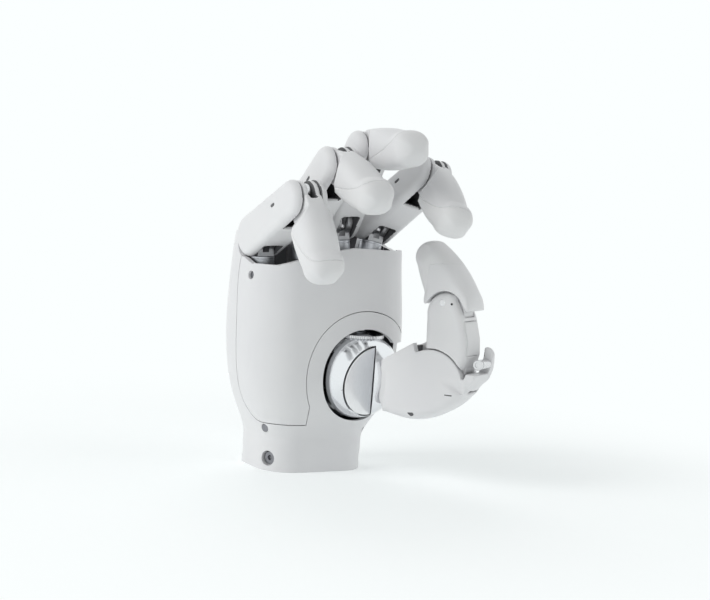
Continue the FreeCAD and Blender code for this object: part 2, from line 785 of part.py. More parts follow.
# Thumb ball: a chromed ball with a flat face for the satin disc, which the full round of the ball
# passes on the thumb's side.
face_normal = toward(10.0, -9.0)
side_normal = toward(60.0)
edge_offset = 8.5
ball = sphere("ball", ball_centre, "Sizes.ball_radius")
flat_start = ball_centre + face_normal * size("disc_plane")
flat_tool = cylinder("flat_tool", flat_start, face_normal, 30.0, 40.0)
disc_hole_radius = size("disc_radius") + size("disc_groove")
recess_start = ball_centre + face_normal * (size("disc_plane") - size("disc_depth"))
recess = cylinder("recess", recess_start, face_normal, 30.0, disc_hole_radius)
spare = box("yoke_side", (edge_offset, -50, -50), (60, 100, 100))
spare.Placement = Placement(ball_centre, Rotation(X_AXIS, side_normal)).multiply(spare.Placement)
flat_cut = boolean("Cut", "flat_cut", fuse("flat_and_recess", [flat_tool, recess]), spare)
trunnion = cylinder("trunnion", ball_centre, (0, 0, 1), arm_high - 0.3 - 45, "Sizes.trunnion_radius")
keep("thumb_ball", boolean("Cut", "thumb_ball", fuse("ball_body", [ball, trunnion]), flat_cut))
disc_start = ball_centre + face_normal * (size("disc_plane") - size("disc_depth"))
disc = cylinder("disc", disc_start, face_normal, size("disc_depth") + 0.5, "Sizes.disc_radius")
spare_wide = box("yoke_side_wide", (edge_offset - 0.3, -50, -50), (60, 100, 100))
spare_wide.Placement = Placement(ball_centre, Rotation(X_AXIS, side_normal)).multiply(spare_wide.Placement)
keep("thumb_disc_cap", boolean("Cut", "thumb_disc_cap", disc, spare_wide))


# Thumb metacarpal: a shell with a domed top and a hollow for the tongue of the next bone.
thumb_half = size("thumb_width") / 2
tongue_half = size("thumb_tongue") / 2
dome = size("dome_radius")
mc = thumb_knuckle
mc_body = new_body("metacarpal_blank")
mc_outline = [
    (18.0, 30.2),
    (18.0, 54.0),
    (25.5, 58.6),
    (33.2, 63.4),
    polar(mc, dome, 120),
    (polar(mc, dome, 60), polar(mc, dome, 16)),
    (58.9, 50.2),
    (61.0, 58.2),
    (61.5, 63.8),
    ((64.5, 63.4), (65.6, 59.6)),
    ((62.0, 47.2), (48.4, 33.6)),
    ((38.0, 29.2), (26.0, 29.0)),
]
pad(mc_body, [mc_outline], "Sizes.thumb_width")
mc_body.Placement = thumb_plane
mc_round = swollen("metacarpal_round", mc_body, thumb_plane, (41.0, 47.0), ("Sizes.metacarpal_swell", 39.0, 28.0))
horn_loop = [(57.0, 52.6), (70.0, 52.6), (70.0, 70.0), (54.0, 70.0), (54.0, 58.0)]
horn_cut = prism("horn_cut", horn_loop, thumb_plane, -tongue_half - 0.4, thumb_half + 1)
tongue_clear = 12.5
wide_clear = 17.8
hollow_loop = [
    polar(mc, wide_clear, -7),
    (polar(mc, wide_clear, 40), polar(mc, wide_clear, 70)),
    (mc[0] + 2.0, 80.0),
    (30.0, 80.0),
    (31.0, 60.0),
    polar(mc, tongue_clear, 150),
    (polar(mc, tongue_clear, 270), polar(mc, tongue_clear, -7)),
]
hollow = prism("metacarpal_hollow", hollow_loop, thumb_plane, -tongue_half - 0.4, tongue_half + 0.4)
mc_hole = cylinder("mc_hole", (-20, mc[0], mc[1]), (1, 0, 0), 40.0, size("pin_radius") + size("press_gap"))
mc_hole.Placement = thumb_plane.multiply(mc_hole.Placement)
mc_screw = cylinder("mc_screw", (thumb_half - 2.6, 34.0, 33.4), (1, 0, 0), 6.0, 1.3)
mc_screw.Placement = thumb_plane.multiply(mc_screw.Placement)
mc_mark = box("mc_mark", (thumb_half - 1.8, 50.2, 42.2), (6.0, 3.4, 0.9))
mc_mark.Placement = thumb_plane.multiply(mc_mark.Placement)
ball_seat = sphere("ball_seat", ball_centre, size("ball_radius") + 0.02)
keep("thumb_metacarpal", boolean("Cut", "thumb_metacarpal", mc_round,
                                 fuse("metacarpal_cuts", [horn_cut, hollow, mc_hole, mc_screw, mc_mark, ball_seat])))
mc_pins = pins("thumb_mcp", thumb_plane.multiply(Placement(V(0, mc[0], mc[1]), Rotation())),
               thumb_half - 0.8, 0.2, "Sizes.pin_radius")
keep("thumb_mcp_pins", fuse("thumb_mcp_pins", mc_pins))

# Thumb first bone: slides round the dome and carries the tip joint between two ears.
ip = thumb_tip_joint
gap_radius = dome + size("thumb_gap")
ear = 8.5
bone_body = new_body("thumb_bone_blank")
bone_outline = [
    polar(mc, gap_radius, 104),
    (38.0, 76.0),
    (polar(ip, ear, 120), polar(ip, ear, 60)),
    (55.9, 76.5),
    (58.4, 67.0),
    (58.9, 60.4),
    polar(mc, gap_radius, 28),
    (polar(mc, gap_radius, 65), polar(mc, gap_radius, 104)),
]
pad(bone_body, [bone_outline], "Sizes.thumb_width")
round_sides(bone_body, thumb_half, "Sizes.finger_edge", on_circle(mc, gap_radius))
tongue_loop = [
    polar(mc, 17.3, 27),
    (polar(mc, 17.3, 50), polar(mc, 17.3, 70)),
    (mc[0] + 4.0, 66.0),
    (mc[0] - 1.0, 66.0),
    polar(mc, 12.0, 120),
    (polar(mc, 12.0, 240), polar(mc, 12.0, 0)),
]
pad(bone_body, [tongue_loop], "Sizes.thumb_tongue")
ip_clear = size("joint_radius") + 0.4
fork_loop = [
    polar(ip, ip_clear, 190),
    (polar(ip, ip_clear, 270), polar(ip, ip_clear, 350)),
    (70.0, ip[1] + 1.0),
    (70.0, 100.0),
    (30.0, 100.0),
    (30.0, ip[1] - 1.0),
]
pocket(bone_body, [fork_loop], "Sizes.thumb_tongue + 0.8")
pocket(bone_body, [(mc, size("pin_radius") + size("pin_fit"))], "Sizes.thumb_width")
pocket(bone_body, [(ip, size("pin_radius") + size("press_gap"))], "Sizes.thumb_width")
bone_body.Placement = thumb_plane
back_loop = [(54.6, 60.0), (70.0, 60.0), (70.0, 75.0), (53.2, 75.0)]
back_region = prism("back_region", back_loop, thumb_plane, -6.6, 6.6)
keep("thumb_proximal", boolean("Cut", "thumb_proximal", bone_body, back_region))
keep("thumb_back_cover", boolean("Common", "thumb_back_cover", bone_body, back_region))
ip_pins = pins("thumb_ip", thumb_plane.multiply(Placement(V(0, ip[0], ip[1]), Rotation())),
               thumb_half - 0.8, 0.2, "Sizes.pin_radius")
keep("thumb_ip_pins", fuse("thumb_ip_pins", ip_pins))

# Thumb last bone: a broad base that narrows to a blunt tip.
tip_body = new_body("thumb_tip_blank")
tip_gap = 9.2
tip_outline = [
    polar(ip, 10.2, 165),
    ((33.3, 89.0), (30.2, 97.5)),
    ((31.3, 107.0), (38.4, 108.6)),
    ((49.5, 99.3), (57.4, 88.0)),
    ((58.7, 84.0), (58.5, 79.9)),
    (57.6, 79.6),
    polar(ip, tip_gap, 28),
    (polar(ip, tip_gap, 90), polar(ip, tip_gap, 150)),
]
pad(tip_body, [tip_outline], "Sizes.thumb_width")
ip_tongue = size("joint_radius")
tip_tongue = [
    polar(ip, ip_tongue, 170),
    (polar(ip, ip_tongue, 270), polar(ip, ip_tongue, 10)),
    (ip[0] + 6.5, ip[1] + 13),
    (ip[0] - 6.5, ip[1] + 13),
]
pad(tip_body, [tip_tongue], "Sizes.thumb_tongue")
pocket(tip_body, [(ip, size("pin_radius") + size("pin_fit"))], "Sizes.thumb_tongue + 2")
tip_body.Placement = thumb_plane
tip_round = swollen("thumb_tip_round", tip_body, thumb_plane, (46.0, 87.0), ("Sizes.thumb_swell", 26.0, 30.0))
pad_loop = [(20, 86), (37.5, 86), ((37.8, 93), (38.6, 99)), (46.0, 100.5), (60, 100.5), (60, 130), (20, 130)]
thumb_pad_region = prism("thumb_pad_region", pad_loop, thumb_plane, -thumb_half - 1, thumb_half + 1)
keep("thumb_distal", boolean("Cut", "thumb_distal", tip_round, thumb_pad_region))
keep("thumb_fingertip", boolean("Common", "thumb_fingertip", tip_round, thumb_pad_region))

# Screws in the shell.
lower_screw = cylinder("lower_screw", lower_screw_place - lower_screw_aim * 2.6, lower_screw_aim, 2.0, 1.85)
upper_screw = cylinder("upper_screw", upper_screw_place - upper_screw_aim * 2.6, upper_screw_aim, 2.0, 1.85)
keep("cover_screws", fuse("cover_screws", [lower_screw, upper_screw]))

doc.recompute()
failed = [o.Name for o in doc.Objects if any(word in o.State for word in ("Invalid", "Error"))]
if failed:
    raise ValueError("these did not build: " + ", ".join(failed))
for name, feature in nodes.items():
    shape = feature.Shape
    if shape.isNull() or not shape.isValid() or not shape.Solids:
        raise ValueError(name + " has no good solid")
    shape.exportStep("parts/" + name + ".step")
    middle = shape.BoundBox.Center
    print("%-20s solids %d volume %9.1f centre %6.1f %6.1f %6.1f"
          % (name, len(shape.Solids), shape.Volume, middle.x, middle.y, middle.z))
print("nodes", len(nodes))
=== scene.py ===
import bmesh
import bpy
import json
import math
import numpy as np
from mathutils import Matrix


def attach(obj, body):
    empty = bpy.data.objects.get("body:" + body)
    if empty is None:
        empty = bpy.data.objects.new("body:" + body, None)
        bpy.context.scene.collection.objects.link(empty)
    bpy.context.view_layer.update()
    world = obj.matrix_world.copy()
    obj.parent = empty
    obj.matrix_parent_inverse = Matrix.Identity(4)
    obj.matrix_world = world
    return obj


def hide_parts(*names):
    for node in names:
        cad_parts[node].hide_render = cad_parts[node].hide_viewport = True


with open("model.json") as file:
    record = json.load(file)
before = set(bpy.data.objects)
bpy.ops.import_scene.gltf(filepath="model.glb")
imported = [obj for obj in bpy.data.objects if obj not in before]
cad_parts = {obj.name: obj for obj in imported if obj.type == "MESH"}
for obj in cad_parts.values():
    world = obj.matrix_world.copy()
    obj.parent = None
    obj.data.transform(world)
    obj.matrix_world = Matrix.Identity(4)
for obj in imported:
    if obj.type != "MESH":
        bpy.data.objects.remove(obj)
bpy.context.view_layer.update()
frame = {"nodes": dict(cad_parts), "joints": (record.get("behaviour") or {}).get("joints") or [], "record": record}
nodes = frame["nodes"]
jointList = {joint["name"]: joint for joint in frame["joints"]}
fingerNames = ["little", "ring", "middle", "index"]
mm = 0.001
print("frame loaded:", len(nodes), "nodes")

# where the camera stood for the photo
camera = {
    "azimuth": -30.0,          # degrees from the palm's front, towards the little finger
    "elevation": 5.0,
    "roll": 4.0,
    "distance": 640.0 * mm,
    "target": (0.0, -15.0 * mm, 72.6 * mm),
    "lens": 71.39,
    "shift": (0.0401, 0.0176),
}

# lamps are placed in metres and aim at the camera's target
studio = {
    "background": (0.965, 1.0, 1.0),
    "skyStrength": 0.42,
    "key": {"place": (-1.15, 0.0, 0.8), "size": 0.7, "watts": 7.0},
    "fill": {"place": (0.9, -0.5, 0.6), "size": 0.9, "watts": 1.9},
    "back": {"place": (0.25, 0.8, 0.9), "size": 0.8, "watts": 1.9},
    "floorSize": 6.0,
    "floorTone": (0.93, 0.95, 0.95),
    "sweep": 0.8,              # radius of the curve up to the wall
    "sweepSteps": 17,
    "floorGlow": 0.2,
    "shadowNear": 0.06,        # the floor shows the hand's shadow inside this reach
    "shadowFar": 0.3,
}


# vectors and frames

def rotationAbout(axis, degrees):
    # Rodrigues: the turn by an angle about a unit axis
    x, y, z = np.asarray(axis, float) / np.linalg.norm(axis)
    c = math.cos(math.radians(degrees))
    s = math.sin(math.radians(degrees))
    k = np.array([[0, -z, y], [z, 0, -x], [-y, x, 0]])
    return np.eye(3) * c + s * k + (1 - c) * np.outer([x, y, z], [x, y, z])


def placeFrame(origin, turn):
    # a matrix with three axes as its columns and the origin as the last one
    m = np.eye(4)
    m[:3, :3] = turn
    m[:3, 3] = origin
    return m


def carry(matrix, points):
    # points in a piece's own frame, taken to the hand's frame
    return points @ matrix[:3, :3].T + matrix[:3, 3]


# frames of a finger's pieces as they stand in the photo: X along the hinge, Z along the bone
couplings = {c["joint"]: c for c in frame["record"]["behaviour"]["couplings"]}
bones = {}
for finger in fingerNames:
    mcp = jointList[finger + "_mcp"]
    pip = jointList[finger + "_pip"]
    xAxis = np.array(mcp["axis"], float)
    yAxis = np.array([0.0, 1.0, 0.0])
    zAxis = np.cross(xAxis, yAxis)
    bend = -mcp["range_deg"][0]
    straight = np.stack([xAxis, yAxis, zAxis], axis=1)
    firstTurn = rotationAbout(xAxis, bend) @ straight
    secondTurn = rotationAbout(xAxis, bend * (1 + couplings[finger + "_pip"]["ratio"])) @ straight
    bones[finger] = {
        "base": placeFrame(mcp["pos_m"], straight),
        "first": placeFrame(mcp["pos_m"], firstTurn),
        "second": placeFrame(pip["pos_m"], secondTurn),
    }

# the thumb's upright plane: X across it, Y outwards from the turning axis, Z up
turning = jointList["thumb_rotation"]["pos_m"]
hinge = -np.array(jointList["thumb_mcp"]["axis"], float)
outward = np.cross([0.0, 0.0, 1.0], hinge)
thumbTurn = np.stack([hinge, outward, [0.0, 0.0, 1.0]], axis=1)
thumbPlane = placeFrame((turning[0], turning[1], 0.0), thumbTurn)
ballMiddle = np.array(turning)


def toward(azimuth, elevation=0.0):
    # sines and cosines of two angles: azimuth 0 points out of the palm and 90 to the thumb's side
    a = math.radians(azimuth)
    e = math.radians(elevation)
    return np.array([math.sin(a) * math.cos(e), -math.cos(a) * math.cos(e), math.sin(e)])


def alongFrame(origin, direction):
    # a frame whose Z is the given direction
    z = np.asarray(direction, float) / np.linalg.norm(direction)
    helper = np.array([0.0, 0.0, 1.0]) if abs(z[2]) < 0.9 else np.array([0.0, 1.0, 0.0])
    x = np.cross(helper, z)
    x /= np.linalg.norm(x)
    return placeFrame(origin, np.stack([x, np.cross(z, x), z], axis=1))


# meshes

def gridMesh(name, points, material, body, closedAround=True):
    # points has a row for each step along and a column for each step around
    rows, cols = points.shape[:2]
    index = np.arange(rows * cols).reshape(rows, cols)
    right = np.roll(index, -1, axis=1) if closedAround else index[:, 1:]
    left = index if closedAround else index[:, :-1]
    quads = np.stack([left[:-1], right[:-1], right[1:], left[1:]], axis=-1).reshape(-1, 4)
    faces = quads.tolist()
    if closedAround:
        faces.append(index[0][::-1].tolist())
        faces.append(index[-1].tolist())
    mesh = bpy.data.meshes.new(name)
    mesh.from_pydata(points.reshape(-1, 3).tolist(), [], faces)
    mesh.polygons.foreach_set("use_smooth", np.ones(len(mesh.polygons), bool))
    mesh.update()
    piece = bpy.data.objects.new(name, mesh)
    bpy.context.scene.collection.objects.link(piece)
    mesh.materials.append(material)
    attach(piece, body)
    return piece


def keepSharp(piece, degrees=35.0):
    # edges that turn by more than this stay crisp
    split = piece.modifiers.new("sharpEdges", "EDGE_SPLIT")
    split.split_angle = math.radians(degrees)
    return piece


def turned(name, profile, place, material, body, steps=48):
    # a profile of (radius, height) carried round the Z of a frame, in millimetres
    profile = np.array(profile, float) * mm
    angle = np.linspace(0, 2 * math.pi, steps, endpoint=False)
    x = profile[:, :1] * np.cos(angle)
    y = profile[:, :1] * np.sin(angle)
    z = np.repeat(profile[:, 1:], steps, axis=1)
    points = carry(place, np.stack([x, y, z], axis=-1).reshape(-1, 3))
    return keepSharp(gridMesh(name, points.reshape(len(profile), steps, 3), material, body))


# node groups that several materials share

def newGroup(name, inputs):
    # both groups put out a colour, a roughness and a height
    group = bpy.data.node_groups.new(name, "ShaderNodeTree")
    for label, kind, default in inputs:
        socket = group.interface.new_socket(name=label, in_out="INPUT", socket_type=kind)
        socket.default_value = default
    for label, kind in (("Color", "NodeSocketColor"), ("Roughness", "NodeSocketFloat"),
                        ("Height", "NodeSocketFloat")):
        group.interface.new_socket(name=label, in_out="OUTPUT", socket_type=kind)
    return group, group.nodes.new("NodeGroupInput"), group.nodes.new("NodeGroupOutput")


def addNode(tree, kind, **values):
    # a value is either a setting of the node or the default of its input of that name
    node = tree.nodes.new(kind)
    for key, value in values.items():
        if hasattr(node, key):
            setattr(node, key, value)
        else:
            node.inputs[key.replace("_", " ")].default_value = value
    return node


def buildMouldedSkin():
    # fine spark texture of a moulded shell, with slow changes of tone and of gloss
    group, start, end = newGroup(
        "mouldedSkin",
        [("Tone", "NodeSocketColor", (0.8, 0.8, 0.8, 1)), ("Shade", "NodeSocketColor", (0.75, 0.75, 0.75, 1)),
         ("Grain", "NodeSocketFloat", 1800.0), ("Cloud", "NodeSocketFloat", 28.0),
         ("Gloss Low", "NodeSocketFloat", 0.38), ("Gloss High", "NodeSocketFloat", 0.5)])
    coordinates = addNode(group, "ShaderNodeTexCoord")
    grain = addNode(group, "ShaderNodeTexNoise", Detail=3.0, Roughness=0.6)
    cloud = addNode(group, "ShaderNodeTexNoise", Detail=4.0, Roughness=0.55)
    tone = addNode(group, "ShaderNodeMix", data_type="RGBA")
    gloss = addNode(group, "ShaderNodeMapRange")
    link = group.links.new
    link(coordinates.outputs["Object"], grain.inputs["Vector"])
    link(coordinates.outputs["Object"], cloud.inputs["Vector"])
    link(start.outputs["Grain"], grain.inputs["Scale"])
    link(start.outputs["Cloud"], cloud.inputs["Scale"])
    spread = addNode(group, "ShaderNodeMapRange", From_Min=0.35, From_Max=0.65)   # the noise's usual span
    link(cloud.outputs["Fac"], spread.inputs["Value"])
    link(spread.outputs["Result"], tone.inputs["Factor"])
    link(start.outputs["Tone"], tone.inputs["A"])
    link(start.outputs["Shade"], tone.inputs["B"])
    link(cloud.outputs["Fac"], gloss.inputs["Value"])
    link(start.outputs["Gloss Low"], gloss.inputs["To Min"])
    link(start.outputs["Gloss High"], gloss.inputs["To Max"])
    link(tone.outputs["Result"], end.inputs["Color"])
    link(gloss.outputs["Result"], end.inputs["Roughness"])
    link(grain.outputs["Fac"], end.inputs["Height"])
    return group


def buildMachinedMetal():
    # tool marks: noise drawn out along one axis, with darker and duller streaks
    group, start, end = newGroup(
        "machinedMetal",
        [("Bright", "NodeSocketColor", (0.7, 0.7, 0.7, 1)), ("Dull", "NodeSocketColor", (0.55, 0.55, 0.55, 1)),
         ("Stretch", "NodeSocketVector", (3000.0, 3000.0, 120.0)),
         ("Gloss Low", "NodeSocketFloat", 0.22), ("Gloss High", "NodeSocketFloat", 0.42)])
    coordinates = addNode(group, "ShaderNodeTexCoord")
    scaled = addNode(group, "ShaderNodeVectorMath", operation="MULTIPLY")
    streaks = addNode(group, "ShaderNodeTexNoise", Scale=1.0, Detail=3.0)
    tone = addNode(group, "ShaderNodeMix", data_type="RGBA")
    gloss = addNode(group, "ShaderNodeMapRange")
    link = group.links.new
    link(coordinates.outputs["Object"], scaled.inputs[0])
    link(start.outputs["Stretch"], scaled.inputs[1])
    link(scaled.outputs["Vector"], streaks.inputs["Vector"])
    link(streaks.outputs["Fac"], tone.inputs["Factor"])
    link(start.outputs["Bright"], tone.inputs["A"])
    link(start.outputs["Dull"], tone.inputs["B"])
    link(streaks.outputs["Fac"], gloss.inputs["Value"])
    link(start.outputs["Gloss Low"], gloss.inputs["To Min"])
    link(start.outputs["Gloss High"], gloss.inputs["To Max"])
    link(tone.outputs["Result"], end.inputs["Color"])
    link(gloss.outputs["Result"], end.inputs["Roughness"])
    link(streaks.outputs["Fac"], end.inputs["Height"])
    return group


mouldedSkin = buildMouldedSkin()
machinedMetal = buildMachinedMetal()


def finishMaterial(name):
    # colour, gloss and relief come from the shared group, plain numbers are set on the shader itself
    finish = finishes[name]
    material = bpy.data.materials.new(name)
    material.use_nodes = True
    tree = material.node_tree
    surface = tree.nodes["Principled BSDF"]
    for key, value in finish["shader"].items():
        surface.inputs[key].default_value = value
    skin = tree.nodes.new("ShaderNodeGroup")
    skin.node_tree = finish["group"]
    for key, value in finish["skin"].items():
        skin.inputs[key].default_value = value
    bump = tree.nodes.new("ShaderNodeBump")
    bump.inputs["Strength"].default_value = finish["relief"]
    bump.inputs["Distance"].default_value = finish["height"] * mm
    tree.links.new(skin.outputs["Color"], surface.inputs["Base Color"])
    tree.links.new(skin.outputs["Roughness"], surface.inputs["Roughness"])
    tree.links.new(skin.outputs["Height"], bump.inputs["Height"])
    tree.links.new(bump.outputs["Normal"], surface.inputs["Normal"])
    return material


# every finish: its group, the strength and height of its relief, the shader's numbers, the group's values
metal = {"Metallic": 1.0}
finishes = {
    "shellWhite": {
        "group": mouldedSkin, "relief": 0.12, "height": 0.04,
        "shader": {"Coat Weight": 0.12, "Coat Roughness": 0.3, "IOR": 1.46},
        "skin": {"Tone": (0.80, 0.795, 0.80, 1), "Shade": (0.765, 0.76, 0.772, 1),
                 "Grain": 2600.0, "Cloud": 22.0, "Gloss Low": 0.34, "Gloss High": 0.46}},
    "tipWhite": {
        "group": mouldedSkin, "relief": 0.2, "height": 0.05, "shader": {"IOR": 1.42},
        "skin": {"Tone": (0.81, 0.805, 0.805, 1), "Shade": (0.775, 0.77, 0.778, 1),
                 "Grain": 1900.0, "Cloud": 30.0, "Gloss Low": 0.5, "Gloss High": 0.62}},
    "mirrorChrome": {
        "group": machinedMetal, "relief": 0.02, "height": 0.02, "shader": metal,
        "skin": {"Bright": (0.86, 0.87, 0.89, 1), "Dull": (0.80, 0.81, 0.83, 1),
                 "Stretch": (60.0, 60.0, 60.0), "Gloss Low": 0.1, "Gloss High": 0.15}},
    "satinDisc": {
        "group": machinedMetal, "relief": 0.12, "height": 0.03, "shader": metal,
        "skin": {"Bright": (0.90, 0.90, 0.91, 1), "Dull": (0.80, 0.80, 0.81, 1),
                 "Stretch": (2500.0, 2500.0, 200.0), "Gloss Low": 0.26, "Gloss High": 0.4}},
    "blastedAluminium": {
        "group": machinedMetal, "relief": 0.3, "height": 0.04, "shader": metal,
        "skin": {"Bright": (0.58, 0.58, 0.60, 1), "Dull": (0.46, 0.46, 0.47, 1),
                 "Stretch": (1800.0, 1800.0, 1800.0), "Gloss Low": 0.38, "Gloss High": 0.55}},
    "linkAluminium": {
        "group": machinedMetal, "relief": 0.2, "height": 0.03, "shader": metal,
        "skin": {"Bright": (0.80, 0.80, 0.81, 1), "Dull": (0.64, 0.64, 0.66, 1),
                 "Stretch": (3000.0, 200.0, 200.0), "Gloss Low": 0.2, "Gloss High": 0.36}},
    "groundSteel": {
        "group": machinedMetal, "relief": 0.12, "height": 0.02, "shader": metal,
        "skin": {"Bright": (0.78, 0.78, 0.79, 1), "Dull": (0.66, 0.66, 0.67, 1),
                 "Stretch": (200.0, 1400.0, 1400.0), "Gloss Low": 0.16, "Gloss High": 0.3}},
    "darkSteel": {
        "group": machinedMetal, "relief": 0.2, "height": 0.03, "shader": metal,
        "skin": {"Bright": (0.34, 0.34, 0.36, 1), "Dull": (0.22, 0.22, 0.24, 1),
                 "Stretch": (900.0, 900.0, 60.0), "Gloss Low": 0.3, "Gloss High": 0.46}},
    "sleeveSteel": {
        "group": machinedMetal, "relief": 0.04, "height": 0.02, "shader": metal,
        "skin": {"Bright": (0.62, 0.63, 0.66, 1), "Dull": (0.52, 0.53, 0.56, 1),
                 "Stretch": (90.0, 90.0, 1500.0), "Gloss Low": 0.3, "Gloss High": 0.38}},
    # painted shade: a near black for the dark lines, dots and gaps where shade falls
    "paintedGapShade": {
        "group": mouldedSkin, "relief": 0.1, "height": 0.03, "shader": {"IOR": 1.4},
        "skin": {"Tone": (0.035, 0.035, 0.04, 1), "Shade": (0.02, 0.02, 0.024, 1),
                 "Grain": 1500.0, "Cloud": 60.0, "Gloss Low": 0.5, "Gloss High": 0.7}},
    "boardGreen": {
        "group": mouldedSkin, "relief": 0.1, "height": 0.03, "shader": {"IOR": 1.5},
        "skin": {"Tone": (0.02, 0.10, 0.055, 1), "Shade": (0.015, 0.075, 0.04, 1),
                 "Grain": 900.0, "Cloud": 300.0, "Gloss Low": 0.25, "Gloss High": 0.35}},
    # painted shade: a dark grey for the palm shell's faces that look inwards, where shade falls
    "paintedInsideShade": {
        "group": mouldedSkin, "relief": 0.2, "height": 0.04, "shader": {"IOR": 1.45},
        "skin": {"Tone": (0.10, 0.10, 0.105, 1), "Shade": (0.07, 0.07, 0.075, 1),
                 "Grain": 1200.0, "Cloud": 40.0, "Gloss Low": 0.5, "Gloss High": 0.7}},
    # painted shade: a dark grey for slots, recesses and the inner faces of the bones' hollows, where shade falls
    "paintedSlotShade": {
        "group": mouldedSkin, "relief": 0.4, "height": 0.05, "shader": {"IOR": 1.45},
        "skin": {"Tone": (0.13, 0.13, 0.135, 1), "Shade": (0.085, 0.085, 0.09, 1),
                 "Grain": 900.0, "Cloud": 90.0, "Gloss Low": 0.45, "Gloss High": 0.6}},
}
materials = {name: finishMaterial(name) for name in finishes}
print("materials made:", len(materials))

# the hand's own nodes: a finish and a rounding of the edges (mm) for each slot
nodeDress = {
    "shell": {"finish": "shellWhite", "edge": 0.35},
    "soft_tip": {"finish": "tipWhite", "edge": 0.3},
    "chrome": {"finish": "mirrorChrome", "edge": 0.1},
    "disc": {"finish": "satinDisc", "edge": 0.2},
    "frame": {"finish": "blastedAluminium", "edge": 0.3},
    "link": {"finish": "linkAluminium", "edge": 0.2},
    "pin": {"finish": "groundSteel", "edge": 0.15},
    "drive": {"finish": "darkSteel", "edge": 0.25},
    "board": {"finish": "boardGreen", "edge": 0.1},
}
dressing = {
    "weld": 0.02,                  # corners nearer than this (mm) are one
    "flat": 0.4,                   # degrees under which two faces count as one
    "sharp": 38.0,                 # degrees over which an edge is rounded
    "segments": 2,
    # the palm nodes whose inward-facing faces are painted dark as shade, and the middle line and lean that pick
    # them
    "hollow": ("palm_housing", "palm_cover"),
    "hollowMiddle": (1.5 * mm, 0.0),
    "hollowLean": 0.55,
}


def roundEdges(node, width):
    flat = node.modifiers.new("flatFaces", "DECIMATE")
    flat.decimate_type = "DISSOLVE"
    flat.angle_limit = math.radians(dressing["flat"])
    bevel = node.modifiers.new("rounding", "BEVEL")
    bevel.width = width
    bevel.segments = dressing["segments"]
    bevel.limit_method = "ANGLE"
    bevel.angle_limit = math.radians(dressing["sharp"])
    bevel.use_clamp_overlap = True
    level = node.modifiers.new("levelNormals", "WEIGHTED_NORMAL")
    level.keep_sharp = False


def paintInsideShade(mesh):
    # a face is inside where its outward direction points back to the palm's upright middle line; such faces are
    # painted dark grey as shade
    count = len(mesh.polygons)
    centre = np.empty(count * 3)
    normal = np.empty(count * 3)
    mesh.polygons.foreach_get("center", centre)
    mesh.polygons.foreach_get("normal", normal)
    centre = centre.reshape(-1, 3)[:, :2] - np.array(dressing["hollowMiddle"])
    normal = normal.reshape(-1, 3)[:, :2]
    inward = (centre * normal).sum(axis=1) < -dressing["hollowLean"] * np.linalg.norm(centre, axis=1)
    mesh.materials.append(materials["paintedInsideShade"])
    mesh.polygons.foreach_set("material_index", inward.astype(np.int32))


def dressNode(name, slotName):
    node = nodes[name]
    mesh = node.data
    dress = nodeDress[slotName]
    if "custom_normal" in mesh.attributes:
        mesh.attributes.remove(mesh.attributes["custom_normal"])
    mesh.polygons.foreach_set("use_smooth", np.ones(len(mesh.polygons), bool))
    mesh.materials.clear()
    mesh.materials.append(materials[dress["finish"]])
    # the palm nodes' inward-facing faces are painted dark grey as shade
    if name in dressing["hollow"]:
        paintInsideShade(mesh)
    weld = node.modifiers.new("weld", "WELD")
    weld.merge_threshold = dressing["weld"] * mm
    roundEdges(node, dress["edge"] * mm)


nodeSlot = {row["node"]: row["material_slot"] for row in frame["record"]["subparts"]}
for name in nodes:
    dressNode(name, nodeSlot[name])
nodes["cover_screws"].data.materials[0] = materials["darkSteel"]
print("nodes dressed:", len(nodes))

# soft moulded shells: the nodes of a bone joined, remade as one even skin, and smoothed wherever
# nothing runs against them, so that the ends come out round as the real mouldings do
skinning = {
    "voxel": 0.4 * mm,
    "plugSides": 48,
    "lightRounds": 5,              # takes the steps of the remeshing away
    "boneRounds": 9,
    "coverRounds": 8,
    "heavyRounds": 170,            # rounds the free ends
    "thumbRounds": 240,
    "push": 0.5,
    "pull": -0.509,
    "rimHalf": 0.6,                # the outline is read this near the middle plane
    "rimLean": 0.3,
    "crownBatch": 4000,
}
pinSeat = {"finger": 8.5, "thumb": 9.0, "radius": 2.15, "depth": 0.58, "thumbRadius": 2.4, "thumbDepth": 0.75}

# how the flat sides of a moulding roll over into its outline
crowns = {
    "finger": {"half": 8.2, "radius": 8.0, "power": 2.7},
    "thumbTip": {"half": 9.0, "radius": 6.5, "power": 2.6},
    "thumbRoot": {"half": 9.0, "radius": 5.5, "power": 2.5},
}


def localTo(matrix, points):
    # the same points seen from a piece's own frame, in millimetres
    return (points - matrix[:3, 3]) @ matrix[:3, :3] / mm


def softStep(values, low, high):
    # three t squared less two t cubed, where t runs from 0 to 1 between the two values
    t = np.clip((values - low) / (high - low), 0.0, 1.0)
    return t * t * (3.0 - 2.0 * t)


def sideFrame(matrix, y, z, x, side):
    # a frame on a side face, whose Z points out of that side
    origin = carry(matrix, np.array([[x * side, y, z]]) * mm)[0]
    return alongFrame(origin, matrix[:3, 0] * side)


